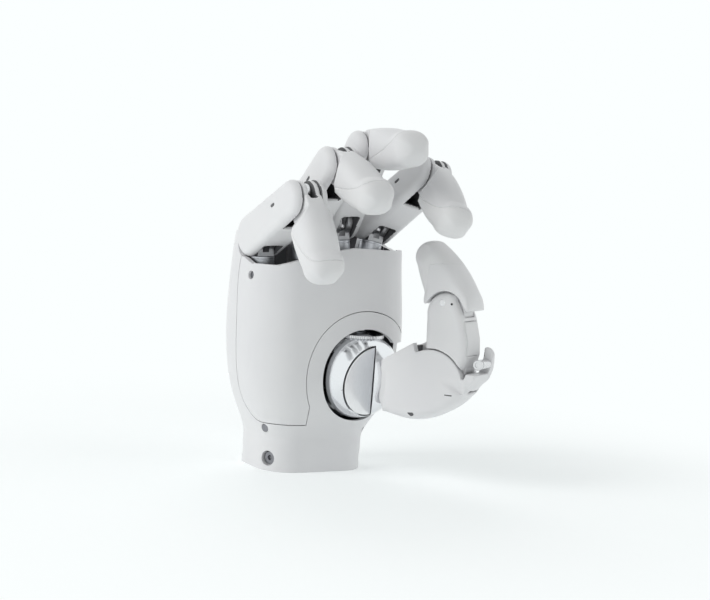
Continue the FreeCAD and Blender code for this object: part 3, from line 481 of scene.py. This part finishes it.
def remade(nodeNames, plugs=(), blocks=()):
    # closed shapes joined with round plugs and blocks, and one even skin of quads over them all
    joined = bmesh.new()
    for name in nodeNames:
        joined.from_mesh(nodes[name].data)
    for spot, radius, depth in plugs:
        place = Matrix(spot.tolist()) @ Matrix.Translation((0, 0, -depth * mm / 2))
        bmesh.ops.create_cone(joined, cap_ends=True, segments=skinning["plugSides"],
                              radius1=radius * mm, radius2=radius * mm, depth=depth * mm, matrix=place)
    for matrix, middle, size in blocks:
        centre = carry(matrix, np.array([middle]) * mm)[0]
        turn = matrix[:3, :3] @ np.diag(np.array(size) * mm)
        bmesh.ops.create_cube(joined, size=1.0, matrix=Matrix(placeFrame(centre, turn).tolist()))
    mesh = bpy.data.meshes.new("joinedShells")
    joined.to_mesh(mesh)
    joined.free()
    helper = bpy.data.objects.new("joinedShells", mesh)
    bpy.context.scene.collection.objects.link(helper)
    cover = helper.modifiers.new("skin", "REMESH")
    cover.mode = "VOXEL"
    cover.voxel_size = skinning["voxel"]
    done = helper.evaluated_get(bpy.context.evaluated_depsgraph_get())
    result = done.to_mesh()
    points = np.empty(len(result.vertices) * 3)
    corners = np.empty(len(result.loops), np.int32)
    result.vertices.foreach_get("co", points)
    result.loops.foreach_get("vertex_index", corners)
    done.to_mesh_clear()
    bpy.data.objects.remove(helper)
    bpy.data.meshes.remove(mesh)
    return points.reshape(-1, 3), corners.reshape(-1, 4)


def relaxed(points, quads, rounds, weight=None, pull=0.0):
    # each point steps towards the mean of its neighbours, then back a little more, which keeps the bulk
    edges = np.concatenate([quads[:, [0, 1]], quads[:, [1, 2]], quads[:, [2, 3]], quads[:, [3, 0]]])
    first, last = np.unique(np.sort(edges, axis=1), axis=0).T
    count = len(points)
    degree = (np.bincount(first, minlength=count) + np.bincount(last, minlength=count))[:, None]
    share = np.ones((count, 1)) if weight is None else weight[:, None]
    rates = (skinning["push"], pull) if pull else (skinning["push"],)
    for rate in rates * rounds:
        total = np.stack([np.bincount(first, points[last, k], count)
                          + np.bincount(last, points[first, k], count) for k in range(3)], axis=1)
        points = points + rate * share * (total / degree - points)
    return points


def vertexNormals(points, quads):
    # the cross product of each quad's diagonals, added up at its corners and brought to length one
    across = np.cross(points[quads[:, 2]] - points[quads[:, 0]], points[quads[:, 3]] - points[quads[:, 1]])
    normals = np.stack([sum(np.bincount(quads[:, k], across[:, axis], len(points)) for k in range(4))
                        for axis in range(3)], axis=1)
    return normals / np.maximum(np.linalg.norm(normals, axis=1), 1e-12)[:, None]


def faceFacts(matrix, points, quads):
    # middle and outward direction of each face, seen from the piece's own frame
    middle = localTo(matrix, points[quads].mean(axis=1))
    across = np.cross(points[quads[:, 2]] - points[quads[:, 0]], points[quads[:, 3]] - points[quads[:, 1]])
    out = across @ matrix[:3, :3]
    return middle, out / np.maximum(np.linalg.norm(out, axis=1), 1e-12)[:, None]


def outline(local, normals):
    # points close to the middle plane that look away within it
    return (np.abs(local[:, 0]) < skinning["rimHalf"]) & (np.abs(normals[:, 0]) < skinning["rimLean"])


def crowned(local, normals, rim, shape, hold):
    # the flat sides roll over into the outline: a point at a depth inside the outline may stand no
    # further out than a rounded section allows, and it moves straight towards that section's core
    edge = local[rim][:, 1:]
    out = normals[rim][:, 1:]
    out = out / np.linalg.norm(out, axis=1)[:, None]
    moved = local.copy()
    for start in range(0, len(local), skinning["crownBatch"]):
        part = slice(start, start + skinning["crownBatch"])
        spot = local[part]
        gap = edge[None, :, :] - spot[:, None, 1:]
        near = (gap ** 2).sum(axis=2).argmin(axis=1)
        rows = np.arange(len(spot))
        depth = (gap[rows, near] * out[near]).sum(axis=1).clip(0, None)
        lean = np.clip(1.0 - depth / shape["radius"], 0.0, 1.0)
        size = (np.abs(spot[:, 0]) / shape["half"]) ** shape["power"] + lean ** shape["power"]
        drawn = (1.0 - 1.0 / np.maximum(size, 1.0) ** (1.0 / shape["power"])) * hold[part]
        moved[part, 0] = spot[:, 0] * (1.0 - drawn)
        moved[part, 1:] = spot[:, 1:] - out[near] * (shape["radius"] * lean * drawn)[:, None]
    return moved


def splitSkin(points, quads, height, across, groove):
    # the skin parted along a seam: its points move onto the seam, then inwards for the groove
    upper = height[quads].mean(axis=1) > 0
    onSeam = np.intersect1d(np.unique(quads[upper]), np.unique(quads[~upper]))
    points = points.copy()
    points[onSeam] -= (height[onSeam, None] * across[onSeam]) * mm
    normals = vertexNormals(points, quads)
    points[onSeam] -= normals[onSeam] * groove * mm
    return points, upper


def skinPiece(name, points, quads, finish, body, replaced, inner=None):
    # only the points that these faces use, with the open rim closed by one inner face
    used, index = np.unique(quads, return_inverse=True)
    mesh = bpy.data.meshes.new(name)
    mesh.from_pydata(points[used].tolist(), [], index.reshape(-1, 4).tolist())
    shape = bmesh.new()
    shape.from_mesh(mesh)
    rim = [edge for edge in shape.edges if edge.is_boundary]
    if rim:
        bmesh.ops.holes_fill(shape, edges=rim, sides=0)
    shape.to_mesh(mesh)
    shape.free()
    mesh.polygons.foreach_set("use_smooth", np.ones(len(mesh.polygons), bool))
    mesh.materials.append(materials[finish])
    mesh.materials.append(materials["paintedSlotShade"])
    # faces marked in inner get the second material, the painted slot shade
    if inner is not None:
        dark = np.zeros(len(mesh.polygons), np.int32)
        dark[:len(inner)] = inner
        mesh.polygons.foreach_set("material_index", dark)
    piece = bpy.data.objects.new(name, mesh)
    bpy.context.scene.collection.objects.link(piece)
    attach(piece, body)
    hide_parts(replaced)


# a finger's last bone; the seam of its soft tip is a height along the bone for each depth across it
fingerEnd = {
    "smooth": (9.2, 12.5),         # the distances from the hinge between which the smoothing sets in
    "crown": (9.4, 13.5),
    "rim": 10.0,
    "slotHalf": 1.9,
    "slotLean": 0.3,
    "floorHalf": 1.6,
    "floorReach": 8.2,
}
fingerSeam = {
    "depth": [-30, -4.6, -3.6, -2.0, 0.0, 3.5, 7.0, 30],
    "height": [13.4, 13.6, 16.2, 21.0, 25.8, 31.6, 34.4, 35.0],
    "steepest": 3,
    "groove": 0.16,
}


def fingerEndSkins(finger):
    matrix = bones[finger]["second"]
    shell, tip = finger + "_distal", finger + "_fingertip"
    points, quads = remade([shell, tip])
    local = localTo(matrix, points)
    reach = np.hypot(local[:, 1], local[:, 2])
    points = relaxed(points, quads, skinning["lightRounds"])
    local = localTo(matrix, points)
    normals = vertexNormals(points, quads) @ matrix[:3, :3]
    rim = outline(local, normals) & (reach > fingerEnd["rim"])
    local = crowned(local, normals, rim, crowns["finger"], softStep(reach, *fingerEnd["crown"]))
    points = relaxed(carry(matrix, local * mm), quads, skinning["heavyRounds"],
                     softStep(reach, *fingerEnd["smooth"]), skinning["pull"])
    # the height above the seam, measured square to the seam's own slope
    local = localTo(matrix, points)
    depths, heights = np.array(fingerSeam["depth"]), np.array(fingerSeam["height"])
    slope = np.clip(np.interp(local[:, 1], depths, np.gradient(heights, depths)), 0, fingerSeam["steepest"])
    height = (local[:, 2] - np.interp(local[:, 1], depths, heights)) / (1 + slope ** 2)
    across = matrix[:3, 2] - slope[:, None] * matrix[:3, 1]
    points, upper = splitSkin(points, quads, height, across, fingerSeam["groove"])
    middle, out = faceFacts(matrix, points, quads[~upper])
    aside = np.abs(middle[:, 0])
    # faces inside the slot and on its floor near the hinge are painted dark grey as shade
    slot = (out[:, 0] * np.sign(middle[:, 0]) < -fingerEnd["slotLean"]) & (aside < fingerEnd["slotHalf"])
    slot |= (aside < fingerEnd["floorHalf"]) & (np.hypot(middle[:, 1], middle[:, 2]) < fingerEnd["floorReach"])
    body = finger + "_second"
    skinPiece(finger + "EndShell", points, quads[~upper], "shellWhite", body, shell, slot)
    skinPiece(finger + "SoftTip", points, quads[upper], "tipWhite", body, tip)


# a finger's first bone, whose inward walls, window for the link and end faces are painted dark grey as shade
fingerBone = {
    "wallLean": 0.35,
    "windowHalf": 4.6,
    "windowLean": 0.3,
    "depth": 7.3,
    "endHalf": 4.5,
    "endLean": 0.5,
}


def fingerBoneSkin(finger):
    matrix = bones[finger]["first"]
    length = np.linalg.norm(bones[finger]["second"][:3, 3] - matrix[:3, 3]) / mm
    plugs = [(sideFrame(matrix, 0.0, z, pinSeat["finger"], side), pinSeat["radius"], pinSeat["depth"])
             for z in (0.0, length) for side in (-1, 1)]
    points, quads = remade([finger + "_proximal"], plugs)
    points = relaxed(points, quads, skinning["boneRounds"])
    middle, out = faceFacts(matrix, points, quads)
    aside = np.abs(middle[:, 0])
    inner = out[:, 0] * np.sign(middle[:, 0]) < -fingerBone["wallLean"]
    inner |= ((aside < fingerBone["windowHalf"]) & (out[:, 1] < -fingerBone["windowLean"])
              & (middle[:, 1] > -fingerBone["depth"]))
    inner |= ((aside < fingerBone["endHalf"]) & (np.abs(middle[:, 1]) < fingerBone["depth"])
              & (np.abs(out[:, 0]) < fingerBone["endLean"]))
    skinPiece(finger + "BoneShell", points, quads, "shellWhite", finger + "_first",
              finger + "_proximal", inner)


for finger in fingerNames:
    fingerEndSkins(finger)
    fingerBoneSkin(finger)
print("finger skins made")

# the thumb's last bone; its seam is a distance out for each height, between two heights
thumbEnd = {"rim": 10.4, "crown": (10.2, 15.0), "smooth": (10.4, 14.0)}
thumbSeam = {
    "height": [0, 86.0, 93.0, 99.0, 100.5],
    "out": [37.4, 37.5, 37.8, 38.6, 60.0],
    "bottom": 86.0,
    "top": 99.5,
    "over": 0.8,
    "limit": 9,
    "groove": 0.02,
}
thumbKnuckle = localTo(thumbPlane, np.array([jointList["thumb_mcp"]["pos_m"]]))[0]
thumbHinge = localTo(thumbPlane, np.array([jointList["thumb_ip"]["pos_m"]]))[0]


def thumbEndSkins():
    points, quads = remade(["thumb_distal", "thumb_fingertip"])
    local = localTo(thumbPlane, points)
    reach = np.hypot(local[:, 1] - thumbHinge[1], local[:, 2] - thumbHinge[2])
    points = relaxed(points, quads, skinning["lightRounds"])
    normals = vertexNormals(points, quads) @ thumbPlane[:3, :3]
    rim = outline(local, normals) & (reach > thumbEnd["rim"])
    local = crowned(local, normals, rim, crowns["thumbTip"], softStep(reach, *thumbEnd["crown"]))
    points = relaxed(carry(thumbPlane, local * mm), quads, skinning["thumbRounds"],
                     softStep(reach, *thumbEnd["smooth"]), skinning["pull"])
    # above the seam is inside its distance out and over its bottom, and everything over its top
    local = localTo(thumbPlane, points)
    limit = np.interp(local[:, 2], thumbSeam["height"], thumbSeam["out"])
    height = np.minimum(limit - local[:, 1], local[:, 2] - thumbSeam["bottom"])
    height = np.where(local[:, 2] > thumbSeam["top"], thumbSeam["over"], height)
    height = np.clip(height, -thumbSeam["limit"], thumbSeam["limit"])
    points, upper = splitSkin(points, quads, height, np.zeros((len(points), 3)), thumbSeam["groove"])
    skinPiece("thumbEndShell", points, quads[~upper], "shellWhite", "thumb_second", "thumb_distal")
    skinPiece("thumbSoftTip", points, quads[upper], "tipWhite", "thumb_second", "thumb_fingertip")


# the thumb's root, with the dash and the recess in its side drawn as dark plates of painted shade
thumbDashShade = {
    "out": 52.0, "up": 42.4, "long": 3.6, "wide": 0.5, "thick": 0.8, "proud": 0.02,
    "lie": (1.0, 0.02), "finish": "paintedGapShade",
}
thumbRecessShade = {
    "out": 34.3, "up": 32.0, "long": 3.0, "wide": 1.9, "thick": 0.8, "proud": 0.02,
    "lie": (0.87, -0.5), "finish": "paintedSlotShade",
}
thumbRoot = {
    "pockets": [(34.0, 33.4, 1.6, 2.9), (51.0, 42.65, 1.4, 2.0), (52.8, 42.65, 1.4, 2.0)],
    "slit": (thumbPlane, (0.0, 57.9, 43.4), (12.0, 3.0, 1.9)),
    "above": 5.0,                  # smoothing fades out this far over the knuckle
    "fade": 6.0,
    "ball": (21.3, 24.0),          # and near the ball
    "domeHalf": 7.6,
    "domeReach": 12.9,
    "rimBall": 22.0,
    "rimAbove": 8.0,
    "rimLean": 0.4,
    "hollowHalf": 5.5,
    "hollowLean": 0.3,
    "wallLean": 0.5,
    "wallSide": -4.0,
    "markReach": 0.6,
}


def thumbPlugs(y, z):
    # plugs that fill the seats of a hinge's pins, on both sides
    return [(sideFrame(thumbPlane, y, z, pinSeat["thumb"], side), pinSeat["thumbRadius"], pinSeat["thumbDepth"])
            for side in (-1, 1)]


def thumbRootSkin():
    plugs = thumbPlugs(thumbKnuckle[1], thumbKnuckle[2])
    for out, up, radius, depth in thumbRoot["pockets"]:
        plugs.append((sideFrame(thumbPlane, out, up, pinSeat["thumb"], 1), radius, depth))
    points, quads = remade(["thumb_metacarpal"], plugs, [thumbRoot["slit"]])
    local = localTo(thumbPlane, points)
    reach = np.hypot(local[:, 1] - thumbKnuckle[1], local[:, 2] - thumbKnuckle[2])
    fromBall = np.linalg.norm(points - ballMiddle, axis=1) / mm
    weight = softStep(thumbKnuckle[2] + thumbRoot["above"] - local[:, 2], 0.0, thumbRoot["fade"])
    weight *= softStep(fromBall, *thumbRoot["ball"])
    weight *= 1 - (np.abs(local[:, 0]) < thumbRoot["domeHalf"]) * (reach < thumbRoot["domeReach"])
    points = relaxed(points, quads, skinning["lightRounds"])
    normals = vertexNormals(points, quads) @ thumbPlane[:3, :3]
    rim = outline(local, normals) & (fromBall > thumbRoot["rimBall"])
    rim &= (local[:, 2] < thumbKnuckle[2] + thumbRoot["rimAbove"])
    rim &= ((local[:, 1:] - thumbKnuckle[1:]) * normals[:, 1:]).sum(axis=1) > thumbRoot["rimLean"] * reach
    local = crowned(local, normals, rim, crowns["thumbRoot"], weight)
    points = relaxed(carry(thumbPlane, local * mm), quads, skinning["thumbRounds"], weight, skinning["pull"])
    local = localTo(thumbPlane, points)
    for spot in (thumbDashShade, thumbRecessShade):
        near = np.hypot(local[:, 1] - spot["out"], local[:, 2] - spot["up"]) < thumbRoot["markReach"]
        spot["side"] = local[near, 0].max()
    middle, out = faceFacts(thumbPlane, points, quads)
    radial = middle[:, 1:] - thumbKnuckle[1:]
    facing = (radial * out[:, 1:]).sum(axis=1) < -thumbRoot["hollowLean"] * np.linalg.norm(radial, axis=1)
    # faces of the hollow round the knuckle and of the inner walls are painted dark grey as shade
    inner = (np.abs(middle[:, 0]) < thumbRoot["hollowHalf"]) & facing
    inner |= ((out[:, 0] * np.sign(middle[:, 0]) < -thumbRoot["wallLean"])
              & (middle[:, 0] > thumbRoot["wallSide"]))
    skinPiece("thumbRootShell", points, quads, "shellWhite", "thumb_base", "thumb_metacarpal", inner)


def thumbBoneSkins():
    plugs = thumbPlugs(thumbHinge[1], thumbHinge[2])
    for name, title, extra in (("thumb_proximal", "thumbBoneShell", plugs),
                               ("thumb_back_cover", "thumbBackShell", [])):
        points, quads = remade([name], extra)
        points = relaxed(points, quads, skinning["coverRounds"])
        skinPiece(title, points, quads, "shellWhite", "thumb_first", name)


thumbEndSkins()
thumbRootSkin()
thumbBoneSkins()
print("thumb skins made")

# screws: a round head with a six-sided socket; lengths in millimetres
screwSizes = {
    "wrist": {"radius": 2.9, "head": 2.0, "socket": 1.25, "deep": 1.3, "sink": 2.0, "finish": "darkSteel"},
    # the cover screws' heads are drawn in the near black of the painted gap shade
    "cover": {"radius": 1.75, "head": 0.6, "socket": 0.85, "deep": 0.7, "sink": 0.75, "finish": "paintedGapShade"},
}
screwEdge = {"steps": 48, "rim": 0.18, "socket": 0.06, "point": 0.05, "tip": 0.1, "sharp": 30.0}
coverScrews = {
    "Upper": {"place": (-37.07, -11.20, 88.3), "azimuth": -79.0},
    "Lower": {"place": (-26.35, -11.87, 19.5), "azimuth": -67.0},
}
wristScrews = {"place": (24.24, -12.79, 5.8), "azimuth": 61.0}


def screwHead(name, place, direction, sizes):
    # rings of points down the head: the rim is a circle, and the socket a hexagon, whose radius is
    # the flat's distance over the cosine of the angle from the flat's middle
    angle = np.linspace(0, 2 * math.pi, screwEdge["steps"], endpoint=False)
    socket = sizes["socket"] * math.cos(math.pi / 6) / np.cos((angle % (math.pi / 3)) - math.pi / 6)
    rim = np.full(screwEdge["steps"], sizes["radius"])
    rings = [
        (rim, -sizes["head"]), (rim, -screwEdge["rim"]), (rim - screwEdge["rim"], 0.0),
        (socket + screwEdge["socket"], 0.0), (socket, -screwEdge["socket"]), (socket, -sizes["deep"]),
        (socket * screwEdge["point"], -sizes["deep"] - screwEdge["tip"]),
    ]
    rows = [np.stack([r * np.cos(angle), r * np.sin(angle), np.full(len(angle), z - sizes["sink"])], 1)
            for r, z in rings]
    points = carry(alongFrame(place, direction), np.concatenate(rows) * mm)
    piece = gridMesh(name, points.reshape(len(rings), -1, 3), materials[sizes["finish"]], "palm")
    keepSharp(piece, screwEdge["sharp"])


for label, screw in coverScrews.items():
    place = np.array(screw["place"]) * mm
    screwHead("coverScrew" + label, place, toward(screw["azimuth"]), screwSizes["cover"])
for sideLabel, sx in (("Left", -1), ("Right", 1)):
    for endLabel, sy in (("Back", -1), ("Front", 1)):
        mirror = np.array([sx, sy, 1])
        place = np.array(wristScrews["place"]) * mirror * mm
        screwHead("wristScrew" + sideLabel + endLabel, place, toward(wristScrews["azimuth"]) * mirror,
                  screwSizes["wrist"])

# toothed ring that turns the thumb, seen above the ball
ringGear = {"inner": 9.2, "root": 11.6, "tip": 12.3, "teeth": 44, "low": 62.2, "high": 63.5}


def addRingGear():
    # the outer radius steps between root and tip four times a tooth, and four rings make the section
    steps = ringGear["teeth"] * 4
    angle = np.linspace(0, 2 * math.pi, steps, endpoint=False)
    wave = np.tile([0.0, 1.0, 1.0, 0.0], ringGear["teeth"])
    outer = ringGear["root"] + (ringGear["tip"] - ringGear["root"]) * wave
    inner = np.full(steps, ringGear["inner"])
    low, high = ringGear["low"], ringGear["high"]
    rows = [np.stack([r * np.cos(angle), r * np.sin(angle), np.full(steps, z)], 1)
            for r, z in ((inner, low), (outer, low), (outer, high), (inner, high))]
    points = np.concatenate(rows) * mm + np.array([ballMiddle[0], ballMiddle[1], 0.0])
    index = np.arange(len(rows) * steps).reshape(-1, steps)
    below = np.roll(index, -1, axis=0)
    quads = np.stack([index, np.roll(index, -1, axis=1), np.roll(below, -1, axis=1), below], -1)
    mesh = bpy.data.meshes.new("thumbRingGear")
    mesh.from_pydata(points.tolist(), [], quads.reshape(-1, 4).tolist())
    mesh.materials.append(materials["groundSteel"])
    gear = bpy.data.objects.new("thumbRingGear", mesh)
    bpy.context.scene.collection.objects.link(gear)
    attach(gear, "thumb_base")


addRingGear()
print("screws and ring gear added")

# small fittings, in millimetres: profiles are (radius, height) points
# a dark grey plate standing in for the shade of a slot on each side of the first bone
slotShadePlate = {
    "along": 30.3, "depth": 2.2, "long": 3.3, "wide": 1.15, "thick": 0.4, "proud": 0.03,
    "finish": "paintedSlotShade",
}
sleeve = {
    "forward": 1.5,
    "profile": [(0.05, -15.4), (5.4, -15.4), (5.4, -10.4), (5.1, -10.3), (5.1, -10.0), (5.4, -9.9),
                (5.4, -9.2), (5.1, -8.9), (0.05, -8.9)],
}
thumbPin = {
    "out": 45.9, "up": 82.4, "sink": 0.1, "finish": "groundSteel",
    "profile": [(0.02, -0.6), (1.45, -0.6), (1.45, 0.05), (1.3, 0.17), (0.02, 0.21)],
}
# a dark dot of painted shade on the thumb's first bone
thumbDotShade = {
    "out": 50.4, "up": 82.3, "sink": 0.1, "finish": "paintedGapShade",
    "profile": [(0.02, -0.6), (0.5, -0.6), (0.5, 0.02), (0.35, 0.14), (0.02, 0.18)],
}
thumbHub = {
    "out": 62.9, "up": 56.7,
    "profile": [(0.05, -5.1), (2.3, -5.1), (2.3, 2.4), (1.8, 2.5), (1.8, 3.1), (2.3, 3.2), (2.3, 4.3),
                (2.0, 4.6), (1.2, 4.6), (1.1, 4.1), (0.05, 4.1)],
}
capsuleEdge = {"steps": 40, "round": 0.06, "sharp": 40.0}


def capsule(name, place, sizes, body):
    # a circle cut in two halves that are moved apart along the frame's X, for a plate with round ends
    angle = np.linspace(0, 2 * math.pi, capsuleEdge["steps"], endpoint=False)
    r = sizes["wide"] / 2
    shift = np.where(np.cos(angle) >= 0, 1, -1) * (sizes["long"] / 2 - r)
    edge = capsuleEdge["round"]
    rows = [np.stack([shift + (r - inset) * np.cos(angle), (r - inset) * np.sin(angle),
                      np.full(len(angle), height)], 1)
            for inset, height in ((0.0, -sizes["thick"]), (0.0, -edge), (edge, 0.0))]
    points = carry(place, np.concatenate(rows) * mm).reshape(len(rows), -1, 3)
    piece = gridMesh(name, points, materials[sizes["finish"]], body)
    keepSharp(piece, capsuleEdge["sharp"])


def plateFrame(matrix, x, y, z, side, lie):
    # on a side face: Z out of it, X along a direction in the piece's own YZ plane
    origin = carry(matrix, np.array([[x * side, y, z]]) * mm)[0]
    out = matrix[:3, 0] * side
    long = matrix[:3, 1] * lie[0] + matrix[:3, 2] * lie[1]
    return placeFrame(origin, np.stack([long, np.cross(out, long), out], axis=1))


def addFingerFittings(finger):
    # a dark grey plate of painted slot shade on each side of the first bone, and a banded sleeve under the knuckle
    first = bones[finger]["first"]
    for side, label in ((-1, "Left"), (1, "Right")):
        spot = plateFrame(first, pinSeat["finger"] + slotShadePlate["proud"], slotShadePlate["depth"], slotShadePlate["along"],
                          side, (0.0, 1.0))
        capsule(finger + "Mark" + label, spot, slotShadePlate, finger + "_first")
    stand = bones[finger]["base"].copy()
    stand[:3, 3] = carry(stand, np.array([[0.0, -sleeve["forward"], 0.0]]) * mm)[0]
    turned(finger + "Sleeve", sleeve["profile"], stand, materials["sleeveSteel"], "palm")


def addThumbFittings():
    for name, spot in (("thumbPin", thumbPin), ("thumbDotShade", thumbDotShade)):
        place = sideFrame(thumbPlane, spot["out"], spot["up"], pinSeat["thumb"] - spot["sink"], 1)
        turned(name, spot["profile"], place, materials[spot["finish"]], "thumb_first", 40)
    # dark plates of painted shade on the thumb's root, for its dash and its recess
    for name, spot in (("thumbDashShade", thumbDashShade), ("thumbRecessShade", thumbRecessShade)):
        place = plateFrame(thumbPlane, spot["side"] + spot["proud"], spot["out"], spot["up"], 1, spot["lie"])
        capsule(name, place, spot, "thumb_base")
    # the hub lies across the horn, so its frame's Z is the thumb plane's X
    hubTurn = np.stack([thumbPlane[:3, 1], thumbPlane[:3, 2], thumbPlane[:3, 0]], axis=1)
    middle = carry(thumbPlane, np.array([[0.0, thumbHub["out"], thumbHub["up"]]]) * mm)[0]
    place = placeFrame(middle, hubTurn)
    turned("thumbHub", thumbHub["profile"], place, materials["groundSteel"], "thumb_base")


for finger in fingerNames:
    addFingerFittings(finger)
addThumbFittings()
print("fittings added")


# floor, backdrop and light

def plainRays(tree):
    # one for the rays that show the plain background: the camera's, and those off metal or through glass
    path = tree.nodes.new("ShaderNodeLightPath")
    total = path.outputs["Is Camera Ray"]
    for label in ("Is Glossy Ray", "Is Transmission Ray"):
        larger = tree.nodes.new("ShaderNodeMath")
        larger.operation = "MAXIMUM"
        tree.links.new(total, larger.inputs[0])
        tree.links.new(path.outputs[label], larger.inputs[1])
        total = larger.outputs["Value"]
    return total


def floorMaterial():
    # near the hand a lit surface that keeps its shadow, further off the plain background colour
    material = bpy.data.materials.new("paleFloor")
    material.use_nodes = True
    tree = material.node_tree
    lit = tree.nodes["Principled BSDF"]
    lit.inputs["Base Color"].default_value = studio["floorTone"] + (1,)
    lit.inputs["Roughness"].default_value = 0.9
    lit.inputs["Emission Color"].default_value = studio["background"] + (1,)
    lit.inputs["Emission Strength"].default_value = studio["floorGlow"]
    plain = tree.nodes.new("ShaderNodeEmission")
    plain.inputs["Color"].default_value = studio["background"] + (1,)
    coordinates = tree.nodes.new("ShaderNodeTexCoord")
    away = tree.nodes.new("ShaderNodeVectorMath")
    away.operation = "LENGTH"
    fade = tree.nodes.new("ShaderNodeMapRange")
    fade.interpolation_type = "SMOOTHSTEP"
    fade.inputs["From Min"].default_value = studio["shadowNear"]
    fade.inputs["From Max"].default_value = studio["shadowFar"]
    choose = tree.nodes.new("ShaderNodeMath")
    choose.operation = "MULTIPLY"
    mix = tree.nodes.new("ShaderNodeMixShader")
    link = tree.links.new
    link(coordinates.outputs["Object"], away.inputs[0])
    link(away.outputs["Value"], fade.inputs["Value"])
    link(fade.outputs["Result"], choose.inputs[0])
    link(plainRays(tree), choose.inputs[1])
    link(choose.outputs["Value"], mix.inputs["Fac"])
    link(lit.outputs["BSDF"], mix.inputs[1])
    link(plain.outputs["Emission"], mix.inputs[2])
    link(mix.outputs["Shader"], tree.nodes["Material Output"].inputs["Surface"])
    return material


def makeFloor():
    # a flat sheet that sweeps up in a quarter circle to a wall behind the hand
    half = studio["floorSize"] / 2
    radius = studio["sweep"]
    curve = np.linspace(0, math.pi / 2, studio["sweepSteps"])
    y = np.concatenate([[-half], half - radius + radius * np.sin(curve), [half]])
    z = np.concatenate([[0.0], radius - radius * np.cos(curve), [half]])
    x = np.array([[-half, half]]).repeat(len(y), 0)
    points = np.stack([x, y[:, None].repeat(2, 1), z[:, None].repeat(2, 1)], -1)
    index = np.arange(len(y) * 2).reshape(-1, 2)
    quads = np.stack([index[:-1, 0], index[:-1, 1], index[1:, 1], index[1:, 0]], -1)
    mesh = bpy.data.meshes.new("floor")
    mesh.from_pydata(points.reshape(-1, 3).tolist(), [], quads.tolist())
    mesh.materials.append(floorMaterial())
    floor = bpy.data.objects.new("floor", mesh)
    bpy.context.scene.collection.objects.link(floor)


def softLamp(name, lamp):
    data = bpy.data.lights.new(name, "AREA")
    data.shape = "DISK"
    data.size = lamp["size"]
    data.energy = lamp["watts"]
    light = bpy.data.objects.new(name, data)
    bpy.context.scene.collection.objects.link(light)
    light.visible_camera = False
    light.visible_glossy = False
    aim = np.array(camera["target"]) - np.array(lamp["place"])
    light.matrix_world = Matrix(alongFrame(lamp["place"], -aim).tolist())


def makeWorld():
    # a dim even sky that lights the hand, shown at full strength behind it and in its metal
    world = bpy.data.worlds.new("studioWorld")
    bpy.context.scene.world = world
    world.use_nodes = True
    tree = world.node_tree
    sky = tree.nodes["Background"]
    sky.inputs["Color"].default_value = studio["background"] + (1,)
    sky.inputs["Strength"].default_value = studio["skyStrength"]
    seen = tree.nodes.new("ShaderNodeBackground")
    seen.inputs["Color"].default_value = studio["background"] + (1,)
    seen.inputs["Strength"].default_value = 1.0
    choose = tree.nodes.new("ShaderNodeMixShader")
    tree.links.new(plainRays(tree), choose.inputs["Fac"])
    tree.links.new(sky.outputs["Background"], choose.inputs[1])
    tree.links.new(seen.outputs["Background"], choose.inputs[2])
    tree.links.new(choose.outputs["Shader"], tree.nodes["World Output"].inputs["Surface"])


makeFloor()
for lampName in ("key", "fill", "back"):
    softLamp(lampName + "Lamp", studio[lampName])
makeWorld()
print("floor, lamps and sky set")


def placeCamera():
    # a frame that looks back at the target along its azimuth and elevation, then rolled about that line
    back = toward(camera["azimuth"], camera["elevation"])
    turn = math.radians(camera["azimuth"])
    right = np.array([math.cos(turn), math.sin(turn), 0.0])
    up = np.cross(back, right)
    roll = math.radians(camera["roll"])
    across = math.cos(roll) * right + math.sin(roll) * up
    upright = -math.sin(roll) * right + math.cos(roll) * up
    lens = bpy.data.cameras.new("photoCamera")
    lens.lens = camera["lens"]
    lens.sensor_width = 36.0
    lens.shift_x, lens.shift_y = camera["shift"]
    lens.clip_start = 0.01
    lens.clip_end = 20.0
    photoCamera = bpy.data.objects.new("photoCamera", lens)
    bpy.context.scene.collection.objects.link(photoCamera)
    place = np.array(camera["target"]) + camera["distance"] * back
    photoCamera.matrix_world = Matrix(placeFrame(place, np.stack([across, upright, back], 1)).tolist())
    bpy.context.scene.camera = photoCamera


placeCamera()
bpy.context.scene.view_settings.view_transform = "Standard"
print("camera set")
